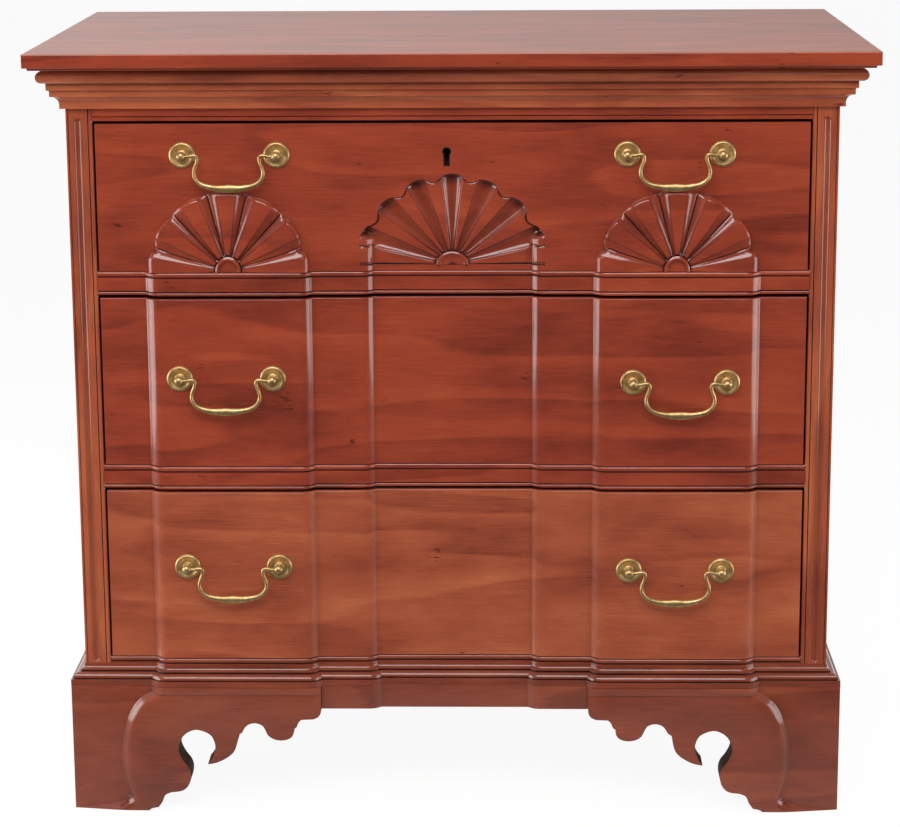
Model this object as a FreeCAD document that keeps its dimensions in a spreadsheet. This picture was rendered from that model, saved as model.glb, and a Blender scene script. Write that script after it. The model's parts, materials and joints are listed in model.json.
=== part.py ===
"""Block-front chest of three drawers, in cherry with cast brass bail handles.

The case stands on blocked bracket feet. The outer thirds of its front are raised blocks, the
middle is sunk, and the top drawer ends each of them in a carved shell. +Z is up and the front
looks along -Y. The origin is on the floor, under the middle of the top board. Millimetres.
"""
import FreeCAD, Part
import Sketcher
import math
import os
from FreeCAD import Rotation, Vector

# name, value, what it is
DIMENSIONS = [
    ("case_width", 838, "over the two stiles"),
    ("case_depth", 473, "stile faces to back boards"),
    ("foot_height", 147.5, "floor to the underside of the base moulding"),
    ("bottom_rail_height", 29, "rail under the bottom drawer"),
    ("bottom_opening", 198.3, "height of the bottom drawer's opening"),
    ("middle_opening", 193.5, "height of the middle drawer's opening"),
    ("top_opening", 166.7, "height of the top drawer's opening"),
    ("rail_height", 26, "drawer blades"),
    ("top_rail_height", 59, "rail behind the bed moulding"),
    ("top_thickness", 18, "top board"),
    ("front_overhang", 47, "top board past the stile faces"),
    ("side_overhang", 38, "top board past the case sides"),
    ("back_overhang", 4, "top board past the back boards"),
    ("top_lip", 3, "height of the step under the top's edge"),
    ("top_lip_inset", 5, "depth of that step"),
    ("top_edge_radius", 1.5, "eased upper arris of the top"),
    ("side_thickness", 20, "end boards"),
    ("stile_width", 28.5, "stiles, seen from the front"),
    ("stile_depth", 22, "stiles, front to back"),
    ("flute_width", 8.6, "the one flute in each stile"),
    ("flute_depth", 2.6, "its depth"),
    ("flute_inset", 8.4, "outer arris of the stile to the flute"),
    ("flute_top", 56, "top of the case to the flute's round head"),
    ("flute_bottom", 22, "foot of the stile to the flute's round end"),
    ("bead_width", 4, "beads along rails and stiles"),
    ("bead_depth", 1.5, "how far a bead's sides fall back"),
    ("quirk_width", 1, "groove beside a bead"),
    ("rail_depth", 62, "drawer blades, front to back"),
    ("strip_depth", 20, "moulded front strip of a blade"),
    ("top_rail_depth", 34, "top rail, front to back"),
    ("bottom_thickness", 19, "bottom board of the case"),
    ("back_thickness", 12, "back boards"),
    ("back_rabbet", 10, "how far the back boards are let into the sides"),
    ("board_gap", 0.6, "open joint between two back boards"),
    ("batten_height", 22, "rear batten under the top"),
    ("batten_depth", 45, "the same, front to back"),
    ("runner_width", 32, "drawer runners"),
    ("runner_height", 18, "drawer runners under the two upper drawers"),
    ("guide_height", 20, "drawer guides"),
    ("block_inset", 85, "side of the case to the outer edge of a block"),
    ("block_width", 177, "raised block, between the middles of its two ogees"),
    ("block_rise", 8.5, "how far a block stands forward"),
    ("recess_width", 188, "sunk middle panel"),
    ("recess_depth", 6.5, "how far the middle panel is sunk"),
    ("block_run", 11.5, "width of the ogee at each side of a block"),
    ("recess_run", 12.5, "width of the ogee at each side of the sunk panel"),
    ("base_projection", 15, "base moulding past the case"),
    ("base_rise", 21.5, "base moulding, height"),
    ("base_fillet", 6.5, "height of its lowest fillet"),
    ("base_step", 2.5, "set-back over that fillet"),
    ("ovolo_reach", 7.5, "its round, front to back"),
    ("ovolo_height", 6.5, "its round, height"),
    ("base_neck", 2, "plain neck over the round"),
    ("cove_reach", 4, "its hollow, front to back"),
    ("foot_setback", 0.6, "foot faces behind the moulding's lowest fillet"),
    ("foot_thickness", 22, "boards of the feet"),
    ("foot_ease", 6.5, "foot bracket past the block's inner edge"),
    ("foot_fillet_height", 9, "flat fillet over each blocked foot"),
    ("foot_fillet_rise", 1, "how far it stands proud"),
    ("foot_block_round", 6, "rounding of the blocked foot's ridge"),
    ("side_bracket", 212, "length of a side bracket"),
    ("rear_bracket", 118, "length of a rear bracket"),
    ("glue_block", 38, "corner blocks in the feet"),
    ("block_clear", 6, "corner blocks off the floor"),
    ("apron_height", 28, "skirt between the feet"),
    ("apron_thickness", 20, "the same, front to back"),
    ("cornice_height", 45, "bed moulding under the top"),
    ("cornice_projection", 27, "its reach past the case"),
    ("front_thickness", 24, "drawer fronts at their flat parts"),
    ("front_gap", 2.5, "each end of a drawer front to its stile"),
    ("front_lift", 0.5, "drawer front off its rail"),
    ("front_top_gap", 3.3, "drawer front under the rail above"),
    ("drawer_end_gap", 16, "back of a drawer to the back boards"),
    ("drawer_side", 12, "thickness of drawer sides"),
    ("drawer_back", 12, "thickness of drawer backs"),
    ("side_drop", 3, "drawer sides below the front's upper edge"),
    ("runner_clearance", 0.3, "drawer sides over their runners"),
    ("dovetail_lap", 6, "wood left in front of the dovetails"),
    ("dovetail_slope", 3, "how far each side of a tail spreads"),
    ("panel_thickness", 9, "drawer bottoms"),
    ("panel_lift", 8, "drawer bottoms above the lower edge of the sides"),
    ("panel_groove", 5, "how far they are let in"),
    ("shell_radius", 88.5, "outer shells, hub to rim"),
    ("shell_relief", 9, "outer shells, crest of the lobes"),
    ("shell_edge", 5, "outer shells, where lobes and hollows meet at the rim"),
    ("shell_ground", 2, "outer shells, hollows between the lobes at the rim"),
    ("shell_scallop", 3, "outer shells, bulge of each lobe's end"),
    ("shell_hub", 14, "outer shells, radius of the hub"),
    ("fan_radius", 104, "middle shell, hub to rim"),
    ("fan_flute", 4, "middle shell, depth of the rays at the rim"),
    ("fan_scallop", 4, "middle shell, bulge of each ray's end"),
    ("fan_hub", 16, "middle shell, radius of the hub"),
    ("fan_base", 8, "hub of the middle shell above the drawer's lower edge"),
    ("pull_span", 103, "centres of the two posts of a handle"),
    ("top_pull_shift", -3.5, "handle outwards from the middle of its block, top drawer"),
    ("middle_pull_shift", 4.5, "the same, middle drawer"),
    ("bottom_pull_shift", 1.5, "the same, bottom drawer"),
    ("top_pull_height", 129.2, "handle over the rail below, top drawer"),
    ("middle_pull_height", 101.2, "the same, middle drawer"),
    ("bottom_pull_height", 109.2, "the same, bottom drawer"),
    ("middle_pull_drop", 4.5, "right handle lower than the left, middle drawer"),
    ("bottom_pull_drop", 4, "right handle lower than the left, bottom drawer"),
    ("rosette_radius", 14.6, "rosettes"),
    ("rosette_rim", 3.4, "height of a rosette's rim"),
    ("rosette_dish", 1.4, "thickness of its dished middle"),
    ("rosette_lip", 1.8, "slope of its outer edge"),
    ("rosette_seat", 5.2, "radius of the flat round the post"),
    ("post_head", 5.6, "radius of a post's bead"),
    ("post_bead", 5, "half the length of that bead, along the bail's axis"),
    ("post_shank", 4.2, "square shank of a post"),
    ("shank_clearance", 0.2, "hole round a shank"),
    ("shank_reach", 8, "shank past the back of the drawer front"),
    ("bail_standoff", 12, "axis of a bail in front of its drawer front"),
    ("bail_drop", 37.6, "axis to the underside of the grip"),
    ("bail_pin", 1.6, "radius of a bail's pins"),
    ("bail_arm", 4, "width of its arms, seen from the front"),
    ("bail_grip", 7.7, "height of its grip in the middle"),
    ("bail_thickness", 5, "bail, front to back"),
    ("pin_clearance", 0.4, "hole in a post round a bail's pin"),
    ("nut_width", 11, "square nuts"),
    ("nut_thickness", 4, "square nuts"),
    ("lock_offset", 5.5, "keyhole left of the middle"),
    ("lock_width", 64, "lock case"),
    ("lock_height", 46, "lock case"),
    ("lock_depth", 12, "lock case"),
    ("lock_wall", 1.8, "plates of the lock case"),
    ("key_height", 31.2, "keyhole's round head below the front's upper edge"),
    ("key_head", 3.9, "radius of the keyhole's head"),
    ("key_slot", 5.2, "width of its slot"),
    ("key_drop", 15, "its head's middle to the foot of the slot"),
    ("lining_wall", 1.1, "brass lining of the keyhole"),
    ("lining_depth", 9, "how deep it is driven in"),
    ("bolt_width", 24, "lock bolt"),
    ("bolt_thickness", 6, "lock bolt"),
    ("bolt_height", 24, "lock bolt"),
    ("bolt_throw", 8, "travel of the lock bolt"),
    ("bolt_clearance", 0.4, "round the bolt, in the lock and in the rail"),
]

doc = FreeCAD.newDocument("BlockFrontChest")
sheet = doc.addObject("Spreadsheet::Sheet", "Sizes")
for row, (name, value, meaning) in enumerate(DIMENSIONS, start=1):
    sheet.set(f"A{row}", meaning)
    sheet.set(f"B{row}", str(value))
    sheet.setAlias(f"B{row}", name)
doc.recompute()

# Places that many pieces share, as formulas over the sheet
CASE_HALF = "(Sizes.case_width / 2)"
OPENING_HALF = "(Sizes.case_width / 2 - Sizes.stile_width)"
INNER_HALF = "(Sizes.case_width / 2 - Sizes.side_thickness)"
FACE = "((Sizes.front_overhang - Sizes.case_depth - Sizes.back_overhang) / 2)"
BACK = f"({FACE} + Sizes.case_depth)"
BACK_BOARD_FACE = f"({BACK} - Sizes.back_thickness)"
BOTTOM_FLOOR = "(Sizes.foot_height + Sizes.bottom_rail_height)"
LOWER_RAIL = f"({BOTTOM_FLOOR} + Sizes.bottom_opening)"
MIDDLE_FLOOR = f"({LOWER_RAIL} + Sizes.rail_height)"
UPPER_RAIL = f"({MIDDLE_FLOOR} + Sizes.middle_opening)"
TOP_FLOOR = f"({UPPER_RAIL} + Sizes.rail_height)"
TOP_RAIL = f"({TOP_FLOOR} + Sizes.top_opening)"
CASE_TOP = f"({TOP_RAIL} + Sizes.top_rail_height)"
BLOCK_OUTER = f"({CASE_HALF} - Sizes.block_inset)"
BLOCK_INNER = f"({BLOCK_OUTER} - Sizes.block_width)"
BLOCK_CENTRE = f"({BLOCK_OUTER} - Sizes.block_width / 2)"
FRONT_HALF = f"({OPENING_HALF} - Sizes.front_gap)"
FOOT_OUT = "(Sizes.base_projection - Sizes.foot_setback)"
FOOT_OUTER = f"({CASE_HALF} + {FOOT_OUT})"
FOOT_INNER = f"({BLOCK_INNER} - Sizes.foot_ease)"
DRAWER_LENGTH = "(Sizes.case_depth - Sizes.back_thickness - Sizes.drawer_end_gap)"
SHANK_HOLE = "(Sizes.post_shank + 2 * Sizes.shank_clearance)"

nodes = []


def mm(formula):
    """The value of a formula over the sheet, as a plain number."""
    return float(sheet.evalExpression(formula))


def bind(thing, **formulas):
    """Ties properties of an object to the sheet."""
    for prop, formula in formulas.items():
        thing.setExpression(prop, formula)
    return thing


def place(thing, x="0", y="0", z="0"):
    """Puts an object at formulas for X, Y and Z."""
    for axis, formula in zip("xyz", (x, y, z)):
        thing.setExpression(f"Placement.Base.{axis}", formula)
    return thing


def keep(thing):
    """Marks an object as one of the chest's sub-parts."""
    nodes.append(thing)
    return thing


# ---- Part primitives and booleans ----


def box(label, corner, size):
    thing = doc.addObject("Part::Box", label)
    bind(thing, Length=size[0], Width=size[1], Height=size[2])
    return place(thing, *corner)


def rod(label, centre, radius, length, axis):
    """A cylinder that starts at a point and runs along an axis."""
    thing = doc.addObject("Part::Cylinder", label)
    bind(thing, Radius=radius, Height=length)
    thing.Placement.Rotation = Rotation(Vector(0, 0, 1), axis)
    return place(thing, *centre)


def cut(label, base, tool):
    thing = doc.addObject("Part::Cut", label)
    thing.Base, thing.Tool = base, tool
    return thing


def fuse(label, *pieces):
    thing = doc.addObject("Part::MultiFuse", label)
    thing.Shapes = list(pieces)
    return thing


def group(label, *pieces):
    thing = doc.addObject("Part::Compound", label)
    thing.Links = list(pieces)
    return thing


def mirror(label, source, normal=Vector(1, 0, 0)):
    thing = doc.addObject("Part::Mirroring", label)
    thing.Source, thing.Normal = source, normal
    return thing


def copy_at(label, source, corner):
    """Another copy of a piece."""
    thing = doc.addObject("App::Link", label)
    thing.LinkedObject = source
    return place(thing, *corner)


# ---- PartDesign bodies and sketches ----


def body(label, x="0", y="0", z="0"):
    return place(doc.addObject("PartDesign::Body", label), x, y, z)


def origin_plane(owner, role):
    return next(plane for plane in owner.Origin.OriginFeatures if plane.Role == role)


def sketch(owner, name, role, corners, closed=True, offset="0"):
    """An outline on one of a body's origin planes.

    Each corner is (x, y, bend): formulas for its place, and the radius of the edge that leaves it,
    positive where the edge turns left, negative where it turns right, "" where it is straight.
    """
    drawing = owner.newObject("Sketcher::SketchObject", name)
    drawing.AttachmentSupport = [(origin_plane(owner, role), "")]
    drawing.MapMode = "FlatFace"
    bind(drawing, **{"AttachmentOffset.Base.z": offset})
    points = [Vector(mm(x), mm(y), 0) for x, y, _ in corners]
    bends = [mm(bend) if bend else 0 for _, _, bend in corners]
    edges = len(corners) if closed else len(corners) - 1
    for i in range(edges):
        drawing.addGeometry(edge(points[i], points[(i + 1) % len(points)], bends[i]))
    starts = [(i, 2 if bends[i] < 0 else 1) for i in range(edges)]
    ends = [(i, 1 if bends[i] < 0 else 2) for i in range(edges)]
    for i in range(edges if closed else edges - 1):
        joint = Sketcher.Constraint("Coincident", *ends[i], *starts[(i + 1) % edges])
        drawing.addConstraint(joint)
    for i, (x, y, bend) in enumerate(corners):
        at = starts[i] if i < edges else ends[i - 1]
        tie(drawing, Sketcher.Constraint("DistanceX", *at, mm(x)), x)
        tie(drawing, Sketcher.Constraint("DistanceY", *at, mm(y)), y)
        if bend and i < edges:
            tie(drawing, Sketcher.Constraint("Radius", i, abs(bends[i])), f"abs({bend})")
    return drawing


def tie(drawing, constraint, formula):
    index = drawing.addConstraint(constraint)
    drawing.setExpression(f"Constraints[{index}]", formula)


def edge(start, end, bend):
    """A straight edge, or the shorter arc of radius |bend| between two points."""
    if not bend:
        return Part.LineSegment(start, end)
    chord = end - start
    rise = math.sqrt(bend * bend - chord.Length ** 2 / 4)
    left = Vector(-chord.y, chord.x, 0).normalize()
    centre = (start + end) * 0.5 + left * math.copysign(rise, bend)
    first, last = start - centre, end - centre
    angles = [math.atan2(first.y, first.x), math.atan2(last.y, last.x)]
    if bend < 0:
        angles.reverse()
    return Part.ArcOfCircle(Part.Circle(centre, Vector(0, 0, 1), abs(bend)), *angles)


def rectangle(x0, y0, x1, y1):
    return [(x0, y0, ""), (x1, y0, ""), (x1, y1, ""), (x0, y1, "")]


def pad(owner, drawing, length, reverse=False, feature="PartDesign::Pad"):
    thing = owner.newObject(feature, f"{owner.Name}_pad")
    thing.Profile = drawing
    thing.Reversed = reverse
    return bind(thing, Length=length)


def pocket(owner, drawing, length, reverse=False):
    """A pocket, checked to have taken wood away."""
    doc.recompute()
    before = owner.Shape.Volume
    thing = pad(owner, drawing, length, reverse, "PartDesign::Pocket")
    doc.recompute()
    if not owner.Shape.Volume < before:
        raise RuntimeError(f"{thing.Label} cuts nothing")
    return thing


def ease(owner, wanted, radius):
    """Rounds the edges of a body that pass a test."""
    doc.recompute()
    solid = owner.Tip
    edges = [f"Edge{i}" for i, line in enumerate(solid.Shape.Edges, start=1) if wanted(line)]
    thing = owner.newObject("PartDesign::Fillet", f"{owner.Name}_round")
    thing.Base = (solid, edges)
    return bind(thing, Radius=radius)


def revolve(owner, drawing, axis="V_Axis"):
    thing = owner.newObject("PartDesign::Revolution", f"{owner.Name}_turned")
    thing.Profile = drawing
    thing.ReferenceAxis = (drawing, [axis])
    thing.Angle = 360
    return thing


def sweep(owner, path, profile):
    """The profile, kept upright, along the path: how a moulding follows the blocks."""
    thing = owner.newObject("PartDesign::AdditivePipe", f"{owner.Name}_sweep")
    thing.Profile = profile
    thing.Spine = (path, [])
    thing.Mode = "Fixed"
    return thing


def ogee_radius(run, rise):
    """Radius of two equal arcs that together climb a rise over a run."""
    return f"(({run})^2 + ({rise})^2) / (4 * {rise})"


def arc_radius(chord, height):
    """Radius of an arc from its chord and its height."""
    return f"(({chord})^2 / 4 + ({height})^2) / (2 * {height})"


# ---- The block plan ----


def block_plan(end):
    """Front line of the chest from left to right, out to both ends, seen from above."""
    rise, run = "Sizes.block_rise", "Sizes.block_run"
    sink, slope = "Sizes.recess_depth", "Sizes.recess_run"
    block_bend, recess_bend = ogee_radius(run, rise), ogee_radius(slope, sink)
    recess = "(Sizes.recess_width / 2)"
    half = [
        (f"{end}", "0", ""),
        (f"({BLOCK_OUTER} + {run} / 2)", "0", f"-({block_bend})"),
        (BLOCK_OUTER, f"-{rise} / 2", block_bend),
        (f"({BLOCK_OUTER} - {run} / 2)", f"-{rise}", ""),
        (f"({BLOCK_INNER} + {run} / 2)", f"-{rise}", block_bend),
        (BLOCK_INNER, f"-{rise} / 2", f"-({block_bend})"),
        (f"({BLOCK_INNER} - {run} / 2)", "0", ""),
        (f"({recess} + {slope} / 2)", "0", recess_bend),
        (recess, f"{sink} / 2", f"-({recess_bend})"),
        (f"({recess} - {slope} / 2)", sink, ""),
    ]
    left = [(f"-{x}", y, bend) for x, y, bend in half]
    bends = [bend for _, _, bend in half]
    right = []
    for i in range(len(half) - 1, -1, -1):
        right.append((half[i][0], half[i][1], bends[i - 1] if i else ""))
    return left + right


def blocked_outline(end, back):
    """The block plan closed by a straight back."""
    return block_plan(end) + [(end, back, ""), (f"-{end}", back, "")]


# ---- Mouldings ----


def quirk(start):
    """The groove that parts a bead from the rest of an edge, at a height."""
    return [
        ("0", start, ""),
        ("Sizes.bead_depth", f"{start} + Sizes.quirk_width / 2", ""),
        ("0", f"{start} + Sizes.quirk_width", ""),
    ]


def beaded_edge(height, lower, upper):
    """Front edge of a rail from its foot up, with a bead at the foot, the head or both."""
    corners = [("0", "0", "")]
    if lower:
        corners += quirk("Sizes.bead_width")
    if upper:
        corners += quirk(f"({height} - Sizes.bead_width - Sizes.quirk_width)")
    return corners + [("0", height, "")]


def blade(label, level, height, depth, lower_bead=True):
    """A drawer blade: a beaded strip that follows the blocks, on a straight board behind."""
    rail = body(label, y=FACE, z=level)
    strip = beaded_edge(height, lower_bead, True)
    strip += [("Sizes.strip_depth", height, ""), ("Sizes.strip_depth", "0", "")]
    path = sketch(rail, f"{label}_plan", "XY_Plane", block_plan(OPENING_HALF), closed=False)
    profile = sketch(rail, f"{label}_edge", "YZ_Plane", strip, offset=f"-{OPENING_HALF}")
    sweep(rail, path, profile)
    front = "(Sizes.strip_depth - Sizes.block_rise)"
    board = [
        (f"-{OPENING_HALF}", front, ""),
        (OPENING_HALF, front, ""),
        (OPENING_HALF, "Sizes.stile_depth", ""),
        (INNER_HALF, "Sizes.stile_depth", ""),
        (INNER_HALF, depth, ""),
        (f"-{INNER_HALF}", depth, ""),
        (f"-{INNER_HALF}", "Sizes.stile_depth", ""),
        (f"-{OPENING_HALF}", "Sizes.stile_depth", ""),
    ]
    pad(rail, sketch(rail, f"{label}_board", "XY_Plane", board), height)
    return keep(rail)


def base_profile():
    """Base moulding, (out, up): a fillet, a round, a neck and a hollow."""
    out, fillet = "Sizes.base_projection", "Sizes.base_fillet"
    nose = f"({out} - Sizes.base_step)"
    reach, tall = "Sizes.ovolo_reach", "Sizes.ovolo_height"
    back, neck = f"({nose} - {reach})", f"({fillet} + {tall})"
    hollow = f"({neck} + Sizes.base_neck)"
    return [
        ("0", "0", ""),
        (out, "0", ""),
        (out, fillet, ""),
        (nose, fillet, f"0.52 * ({reach} + {tall})"),
        (back, neck, ""),
        (back, hollow, f"-0.62 * (Sizes.cove_reach + Sizes.base_rise - {hollow})"),
        (f"{back} - Sizes.cove_reach", "Sizes.base_rise", ""),
        ("0", "Sizes.base_rise", ""),
    ]


def cornice_profile():
    """Bed moulding, (out, up): fillet, hollow, two fillets and a torus under the top."""
    out, rise = "Sizes.cornice_projection", "Sizes.cornice_height"
    return [
        ("0", "0", ""),
        ("5.5", "0", ""),
        ("5.5", "5", "-9.2"),
        (f"{out} - 12.5", f"{rise} - 31", ""),
        (f"{out} - 12.5", f"{rise} - 25", ""),
        (f"{out} - 9.5", f"{rise} - 23.5", ""),
        (f"{out} - 9.5", f"{rise} - 16", ""),
        (f"{out} - 7", f"{rise} - 16", "7.1"),
        (f"{out}", f"{rise} - 9", "7.1"),
        (f"{out} - 7", f"{rise} - 2", ""),
        (f"{out} - 10", f"{rise} - 2", ""),
        (f"{out} - 10", rise, ""),
        ("0", rise, ""),
    ]


def moulding(name, level, profile, projection, follows_blocks):
    """Three lengths of a moulding, mitred at the two front corners."""
    reach = f"({CASE_HALF} + {projection})"
    front = body(f"{name}_front", y=FACE, z=level)
    section = [(f"-({out})", up, f"-({bend})" if bend else "") for out, up, bend in profile]
    edge_line = sketch(front, f"{name}_section", "YZ_Plane", section, offset=f"-{reach}")
    if follows_blocks:
        path = sketch(front, f"{name}_plan", "XY_Plane", block_plan(reach), closed=False)
        sweep(front, path, edge_line)
    else:
        pad(front, edge_line, f"2 * {reach}")
    for side, sign in (("left", "-"), ("right", "")):
        mitre = [
            (f"{sign}{CASE_HALF}", "0", ""),
            (f"{sign}({CASE_HALF} + 2 * {projection})", f"-2 * {projection}", ""),
            (f"{sign}({CASE_HALF} + 2 * {projection})", "0", ""),
        ]
        corner = sketch(front, f"{name}_{side}_mitre", "XY_Plane", mitre)
        pocket(front, corner, "Sizes.foot_height", reverse=True)
    keep(front)

    left = body(f"{name}_left_return", y=FACE, z=level)
    section = [(f"-({CASE_HALF} + {out})", up, bend) for out, up, bend in mirror_bends(profile)]
    outline = sketch(left, f"{name}_return_section", "XZ_Plane", section, offset=projection)
    pad(left, outline, f"{projection} + Sizes.case_depth", reverse=True)
    mitre = [
        (f"-{CASE_HALF}", "0", ""),
        (f"-{CASE_HALF}", f"-2 * {projection}", ""),
        (f"-({CASE_HALF} + 2 * {projection})", f"-2 * {projection}", ""),
    ]
    corner = sketch(left, f"{name}_return_mitre", "XY_Plane", mitre)
    pocket(left, corner, "Sizes.foot_height", reverse=True)
    right = mirror(f"{name}_right_return", left)
    return keep(group(f"{name}_returns", left, right))


def mirror_bends(corners):
    """Bends of an outline that is drawn mirrored."""
    return [(x, y, f"-({bend})" if bend else "") for x, y, bend in corners]


# ---- The case ----


def top_board():
    half = f"({CASE_HALF} + Sizes.side_overhang)"
    front, back = f"{FACE} - Sizes.front_overhang", f"{BACK} + Sizes.back_overhang"
    top = body("top_board", z=CASE_TOP)
    inset = "Sizes.top_lip_inset"
    lip = rectangle(f"-{half} + {inset}", f"{front} + {inset}", f"{half} - {inset}", back)
    pad(top, sketch(top, "top_lip_outline", "XY_Plane", lip), "Sizes.top_lip")
    slab = rectangle(f"-{half}", front, half, back)
    outline = sketch(top, "top_outline", "XY_Plane", slab, offset="Sizes.top_lip")
    pad(top, outline, "Sizes.top_thickness - Sizes.top_lip")
    thickness = mm("Sizes.top_thickness")
    ease(top, lambda line: line.CenterOfMass.z > thickness - 0.01, "Sizes.top_edge_radius")
    return keep(top)


def case_side():
    height = f"{CASE_TOP} - Sizes.foot_height"
    depth = "Sizes.case_depth - Sizes.stile_depth"
    start = f"{FACE} + Sizes.stile_depth"
    board = box("side_board", (f"-{CASE_HALF}", start, "Sizes.foot_height"),
                ("Sizes.side_thickness", depth, height))
    inner = f"-{CASE_HALF} + Sizes.side_thickness - Sizes.back_rabbet"
    rabbet = box("side_rabbet", (inner, BACK_BOARD_FACE, "Sizes.foot_height"),
                 ("Sizes.back_rabbet", "Sizes.back_thickness", height))
    left = keep(cut("case_side_left", board, rabbet))
    keep(mirror("case_side_right", left))


def stile():
    """A stile with one stopped flute, a quirked outer arris and a beaded inner edge."""
    post = body("stile_left", x=f"-{CASE_HALF}", y=FACE, z="Sizes.foot_height")
    width, depth, quirk = "Sizes.bead_width", "Sizes.bead_depth", "Sizes.quirk_width"
    plan = [
        ("0", "0", ""),
        (f"{width} / 2", "0", ""),
        (f"({width} + {quirk}) / 2", f"{depth} / 2", ""),
        (f"{width} / 2 + {quirk}", "0", ""),
        (f"Sizes.stile_width - {width} - {quirk}", "0", ""),
        (f"Sizes.stile_width - {width} - {quirk} / 2", depth, ""),
        (f"Sizes.stile_width - {width}", "0", ""),
        (f"Sizes.stile_width - {width} / 3", "0", ""),
        ("Sizes.stile_width", depth, ""),
        ("Sizes.stile_width", "Sizes.stile_depth", ""),
        ("0", "Sizes.stile_depth", ""),
    ]
    pad(post, sketch(post, "stile_plan", "XY_Plane", plan), f"{CASE_TOP} - Sizes.foot_height")
    radius = f"({arc_radius('Sizes.flute_width', 'Sizes.flute_depth')})"
    x = f"-{CASE_HALF} + Sizes.flute_inset + Sizes.flute_width / 2"
    y = f"{FACE} + Sizes.flute_depth - {radius}"
    low = "Sizes.foot_height + Sizes.flute_bottom + Sizes.flute_width / 2"
    high = f"{CASE_TOP} - Sizes.flute_top - Sizes.flute_width / 2"
    shaft = rod("flute_shaft", (x, y, low), radius, f"{high} - ({low})", Vector(0, 0, 1))
    ends = []
    for name, level in (("head", high), ("foot", low)):
        ball = doc.addObject("Part::Sphere", f"flute_{name}")
        bind(ball, Radius=radius)
        ends.append(place(ball, x, y, level))
    post.Label = "stile_blank"
    left = cut("stile_left", post, fuse("flute", shaft, *ends))
    left.Label = "stile_left"
    keep(left)
    keep(mirror("stile_right", left))


def top_rail():
    """The front rail under the top, with the mortise that the lock bolt rises into."""
    rail = body("top_rail", y=FACE, z=TOP_RAIL)
    section = beaded_edge("Sizes.top_rail_height", True, False)
    section += [("Sizes.top_rail_depth", "Sizes.top_rail_height", ""), ("Sizes.top_rail_depth", "0", "")]
    outline = sketch(rail, "top_rail_section", "YZ_Plane", section, offset=f"-{OPENING_HALF}")
    pad(rail, outline, f"2 * {OPENING_HALF}")
    clear = "Sizes.bolt_clearance"
    mortise = rectangle(f"-Sizes.lock_offset - Sizes.bolt_width / 2 - {clear}",
                        f"{BOLT_FRONT} - {clear}",
                        f"-Sizes.lock_offset + Sizes.bolt_width / 2 + {clear}",
                        f"{BOLT_FRONT} + Sizes.bolt_thickness + {clear}")
    pocket(rail, sketch(rail, "bolt_mortise", "XY_Plane", mortise),
           "Sizes.bolt_throw + 2 * Sizes.bolt_clearance", reverse=True)
    keep(rail)


def inner_case():
    """Bottom, back boards and the battens, runners and guides that carry the drawers."""
    inner = f"2 * {INNER_HALF}"
    rail_end = f"{FACE} + Sizes.rail_depth"
    inside = f"{BACK_BOARD_FACE} - ({rail_end})"
    keep(box("case_bottom", (f"-{INNER_HALF}", rail_end, "Sizes.foot_height"),
             (inner, inside, "Sizes.bottom_thickness")))
    keep(box("rear_batten",
             (f"-{INNER_HALF}", f"{BACK_BOARD_FACE} - Sizes.batten_depth",
              f"{CASE_TOP} - Sizes.batten_height"),
             (inner, "Sizes.batten_depth", "Sizes.batten_height")))
    count = 3
    tall = f"(({CASE_TOP} - Sizes.foot_height + Sizes.board_gap) / {count})"
    boards = []
    for i in range(count):
        boards.append(box(f"back_board_{i + 1}",
                          (f"-{INNER_HALF} - Sizes.back_rabbet", BACK_BOARD_FACE,
                           f"Sizes.foot_height + {i} * {tall}"),
                          (f"{inner} + 2 * Sizes.back_rabbet", "Sizes.back_thickness",
                           f"{tall} - Sizes.board_gap")))
    keep(group("back_boards", *boards))
    runners, guides = [], []
    low_runner = "Sizes.bottom_rail_height - Sizes.bottom_thickness"
    levels = (("bottom", BOTTOM_FLOOR, low_runner), ("middle", MIDDLE_FLOOR, "Sizes.runner_height"),
              ("top", TOP_FLOOR, "Sizes.runner_height"))
    for name, floor, height in levels:
        for side, start, guide in (
            ("left", f"-{INNER_HALF}", f"-{INNER_HALF}"),
            ("right", f"{INNER_HALF} - Sizes.runner_width", OPENING_HALF),
        ):
            runners.append(box(f"runner_{name}_{side}", (start, rail_end, f"{floor} - ({height})"),
                               ("Sizes.runner_width", inside, height)))
            guides.append(box(f"guide_{name}_{side}", (guide, rail_end, floor),
                              (f"{INNER_HALF} - {OPENING_HALF}", inside, "Sizes.guide_height")))
    keep(group("drawer_runners", *runners))
    keep(group("drawer_guides", *guides))


# ---- The feet ----
# A bracket is drawn on a board that starts at its outer edge. Heights of the pad are measured
# from the floor, those of the scrolls down from the top of the foot.


def pad_outline(outer, eye, top):
    """Inner side of the foot's pad, from the floor up to the cusp of the round eye."""
    cusp = f"({top} - 58.6)"
    return [
        (f"{outer} + 85", "0", ""),
        (f"{outer} + 88", "2.4", ""),
        (f"{outer} + 96", "4", "14"),
        (f"{outer} + 103", "18", "-9"),
        (f"{outer} + 111", "22", ""),
        (f"{outer} + 122", "23", "13"),
        (f"{outer} + 132", "33", "22"),
        (f"{outer} + 125.5", "60", "-20"),
        (f"{eye} - 22.9", f"(60 + {cusp}) / 2", "-20"),
        (f"{eye} - 16.5", cusp, "-19.8"),
    ]


def eye_outline(eye, top):
    """The round eye and the hooked scroll beyond it, about the eye's centre."""
    return [
        (f"{eye}", f"{top} - 50.2", "-19.8"),
        (f"{eye} + 19.2", f"{top} - 73", "-30"),
        (f"{eye} + 10.8", f"{top} - 91.5", "18"),
        (f"{eye} + 21", f"{top} - 90", ""),
        (f"{eye} + 34", f"{top} - 82.5", "13"),
        (f"{eye} + 44", f"{top} - 68", ""),
        (f"{eye} + 45.8", f"{top} - 56.7", ""),
    ]


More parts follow.
